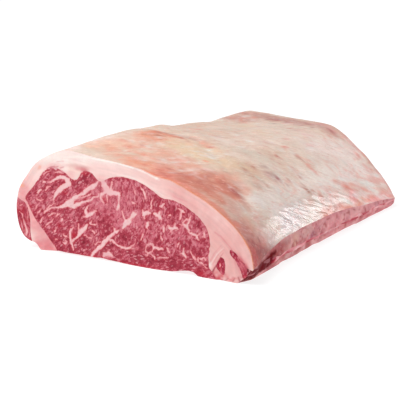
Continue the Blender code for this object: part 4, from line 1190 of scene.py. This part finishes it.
def side_colour(x, y, z):
    """The colour of the trimmed sides. The tail side is rosy fat with stains and a dark cleft. The others
    are paler, with streaks of membrane along the loin."""
    mottle = np.clip(0.5 + 0.7 * uneven(y, z, 9, 5, 86) + 0.5 * uneven(y, z, 3.5, 2.4, 87), 0, 1)
    tail = over(SIDE_COLOURS["rosy"], SIDE_COLOURS["pale"], mottle)
    tail = stained(y, z, y, tail, SIDE_COLOURS, SIDE_STAINS, 0.35)
    tail = over(tail, SIDE_COLOURS["raw"], np.clip(2 * uneven(y, z, 4, 2.6, 89) - 0.7, 0, 0.8))
    cleft = band_distance(y + 2.5 * uneven(y, z, 5, 4, 92), z + 0.8 * uneven(y, z, 3, 3, 93), TAIL_CLEFT)
    tail = over(tail, SIDE_COLOURS["dark"], np.clip(0.5 - cleft / 1.6, 0, 0.95))
    veil = np.clip(0.35 + 0.6 * uneven(x + z, y, 5, 34, 90) + 0.3 * uneven(x + z, y, 2.5, 12, 91), 0, 1)
    elsewhere = over(SIDE_COLOURS["milky"], SIDE_COLOURS["veiled"], veil)
    return np.where((x > TAIL_SIDE_FROM)[:, None], tail, elsewhere)


def fat_finish(name, painted, rough, glint, shine, streak_size, grain_share, depth):
    """Fat with a painted colour, fine mottling and streaks of a size along x, y and z, which also stand in
    relief. With a shine, as on the membrane, the streaks slant down the slope towards the hip, and where the
    painted shine is high the fat is wet and folded."""
    fat = Finish(name, 0.16)
    fat.shader.inputs["Specular IOR Level"].default_value = glint
    at = fat.place
    if shine:
        slant = (fat.axis("Y") + fat.axis("Z") * 1.2 - fat.axis("X") * 1.2) * MM
        at = fat.node("ShaderNodeCombineXYZ", None, {0: fat.axis("X") * MM, 1: slant, 2: fat.axis("Z") * MM})
    at = fat.stray(at, 6, 1.5)
    streak = fat.noise(at, streak_size, 4, detail=3)
    mottle = fat.noise(at, (2.6, 2.6, 2.6), 8)
    fine = fat.noise(at, (1.5, 1.8, 1.5), 14)
    grain = streak * 0.5 + fine * 0.5
    base = fat.shade(fat.painted_colour(painted), 0.89 + (streak * 0.3 + mottle * 0.35 + fine * 0.35) * 0.22)
    base = fat.mix(grain.step(0.55, 0.63) * grain_share, base, tint(214, 126, 110))
    light = grain.step(0.45, 0.37) * grain_share
    base = fat.shade(fat.mix(light * 0.4, base, tint(250, 240, 234)), 1 + light * 0.35)
    roughness = rough + (mottle - 0.5) * 0.12
    height = streak * 0.65 + mottle * 0.35
    if shine:
        wet = fat.painted("shine")
        roughness = roughness - wet * shine
        fat.feed(fat.shader.inputs["Coat Weight"], wet * shine * 2.6)
        fat.shader.inputs["Coat Roughness"].default_value = 0.16
        height = height + wet * abs(fat.noise(at, (14, 3.6, 14), 15, detail=1) - 0.5) * 3.8
    return fat.lay(base, roughness, height, depth)


fat_cap = block
fat_cap.name = "fat_cap_and_seams"
x, y, z = places(fat_cap)
paint(fat_cap, "cap_tint", cap_colour(x, y, z))
paint(fat_cap, "cut_tint", cut_colour(x, z))
paint(fat_cap, "side_tint", side_colour(x, y, z))
paint(fat_cap, "shine", np.clip(bells(x, y, GLOSS), 0, 1))
membrane = fat_finish("fat_membrane", "cap_tint", 0.47, 0.12, 0.16, (8, 3.4, 8), 0.34, 0.45)
sliced_fat = fat_finish("sliced_fat", "cut_tint", 0.5, 0.05, 0, (9, 9, 1.6), 0.06, 0.15)
trimmed_fat = fat_finish("trimmed_fat", "side_tint", 0.5, 0, 0, (5, 9, 2.2), 0.25, 0.3)
dress(fat_cap, {"skin": membrane, "trimmed": trimmed_fat, "sliced": sliced_fat, "wall": sliced_fat})
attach(fat_cap, "root")
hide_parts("fat_cap")

# -------------------------------------------------------------------------------- table, light and camera
# The loin lies on a plain white table that glows a little, so that it throws hardly any shadow. A large soft
# light stands in front of it to the left, and a low one behind it puts the gloss on the cap's lower slope.
FLOOR_HALF = 16.0
CAMERA_AT = (0.53180, -0.91478, 0.25569)
CAMERA_DOWN = 12.3  # degrees below the horizon
CAMERA_TURN = 31.5836  # degrees from the +Y direction, towards the chine side
CAMERA_LENS = 102.03  # for a sensor 36 mm wide

floor_mesh = bpy.data.meshes.new("table")
corners = [(-FLOOR_HALF, -FLOOR_HALF, 0), (FLOOR_HALF, -FLOOR_HALF, 0), (FLOOR_HALF, FLOOR_HALF, 0),
           (-FLOOR_HALF, FLOOR_HALF, 0)]
floor_mesh.from_pydata(corners, [], [(0, 1, 2, 3)])
floor = bpy.data.objects.new("table", floor_mesh)
bpy.context.scene.collection.objects.link(floor)
white = Finish("white_table", 0)
away = white.node("ShaderNodeVectorMath", {"operation": "LENGTH"}, {0: white.place}, "Value")
glow = white.mix(away.step(0.5, 2.2), (0.8, 0.8, 0.8), (0.95, 0.95, 0.95))
laid = {"Base Color": (0.32, 0.32, 0.32, 1), "Roughness": 0.9, "Specular IOR Level": 0,
        "Emission Color": glow, "Emission Strength": 1}
for socket, value in laid.items():
    white.feed(white.shader.inputs[socket], value)
floor.data.materials.append(white.material)

world = bpy.data.worlds.new("studio")
bpy.context.scene.world = world
world.use_nodes = True
world.node_tree.nodes["Background"].inputs["Color"].default_value = (1, 1, 1, 1)
world.node_tree.nodes["Background"].inputs["Strength"].default_value = 0.35


def aim(thing, place, target):
    """Puts a camera or a light at a place, with its view along -Z pointing at the target and +Y up."""
    thing.location = place
    thing.rotation_euler = (Vector(target) - Vector(place)).to_track_quat("-Z", "Y").to_euler()


def softbox(name, place, width, height, power):
    """A rectangular light at a place, turned to the loin."""
    lamp = bpy.data.lights.new(name, "AREA")
    lamp.shape = "RECTANGLE"
    lamp.size = width
    lamp.size_y = height
    lamp.energy = power
    thing = bpy.data.objects.new(name, lamp)
    bpy.context.scene.collection.objects.link(thing)
    aim(thing, place, (0, 0, 0.05))


softbox("front_light", (-0.62, -0.76, 1.64), 1.2, 1.0, 29.6)
softbox("rear_light", (0.76, 1.08, 0.17), 0.55, 0.3, 4.2)

camera = bpy.data.objects.new("camera", bpy.data.cameras.new("camera"))
bpy.context.scene.collection.objects.link(camera)
camera.data.sensor_width = 36
camera.data.lens = CAMERA_LENS
camera.data.clip_end = 100
camera.location = CAMERA_AT
camera.rotation_euler = (math.radians(90 - CAMERA_DOWN), 0, math.radians(CAMERA_TURN))
bpy.context.scene.camera = camera
bpy.context.scene.view_settings.view_transform = "Standard"

bpy.context.view_layer.update()
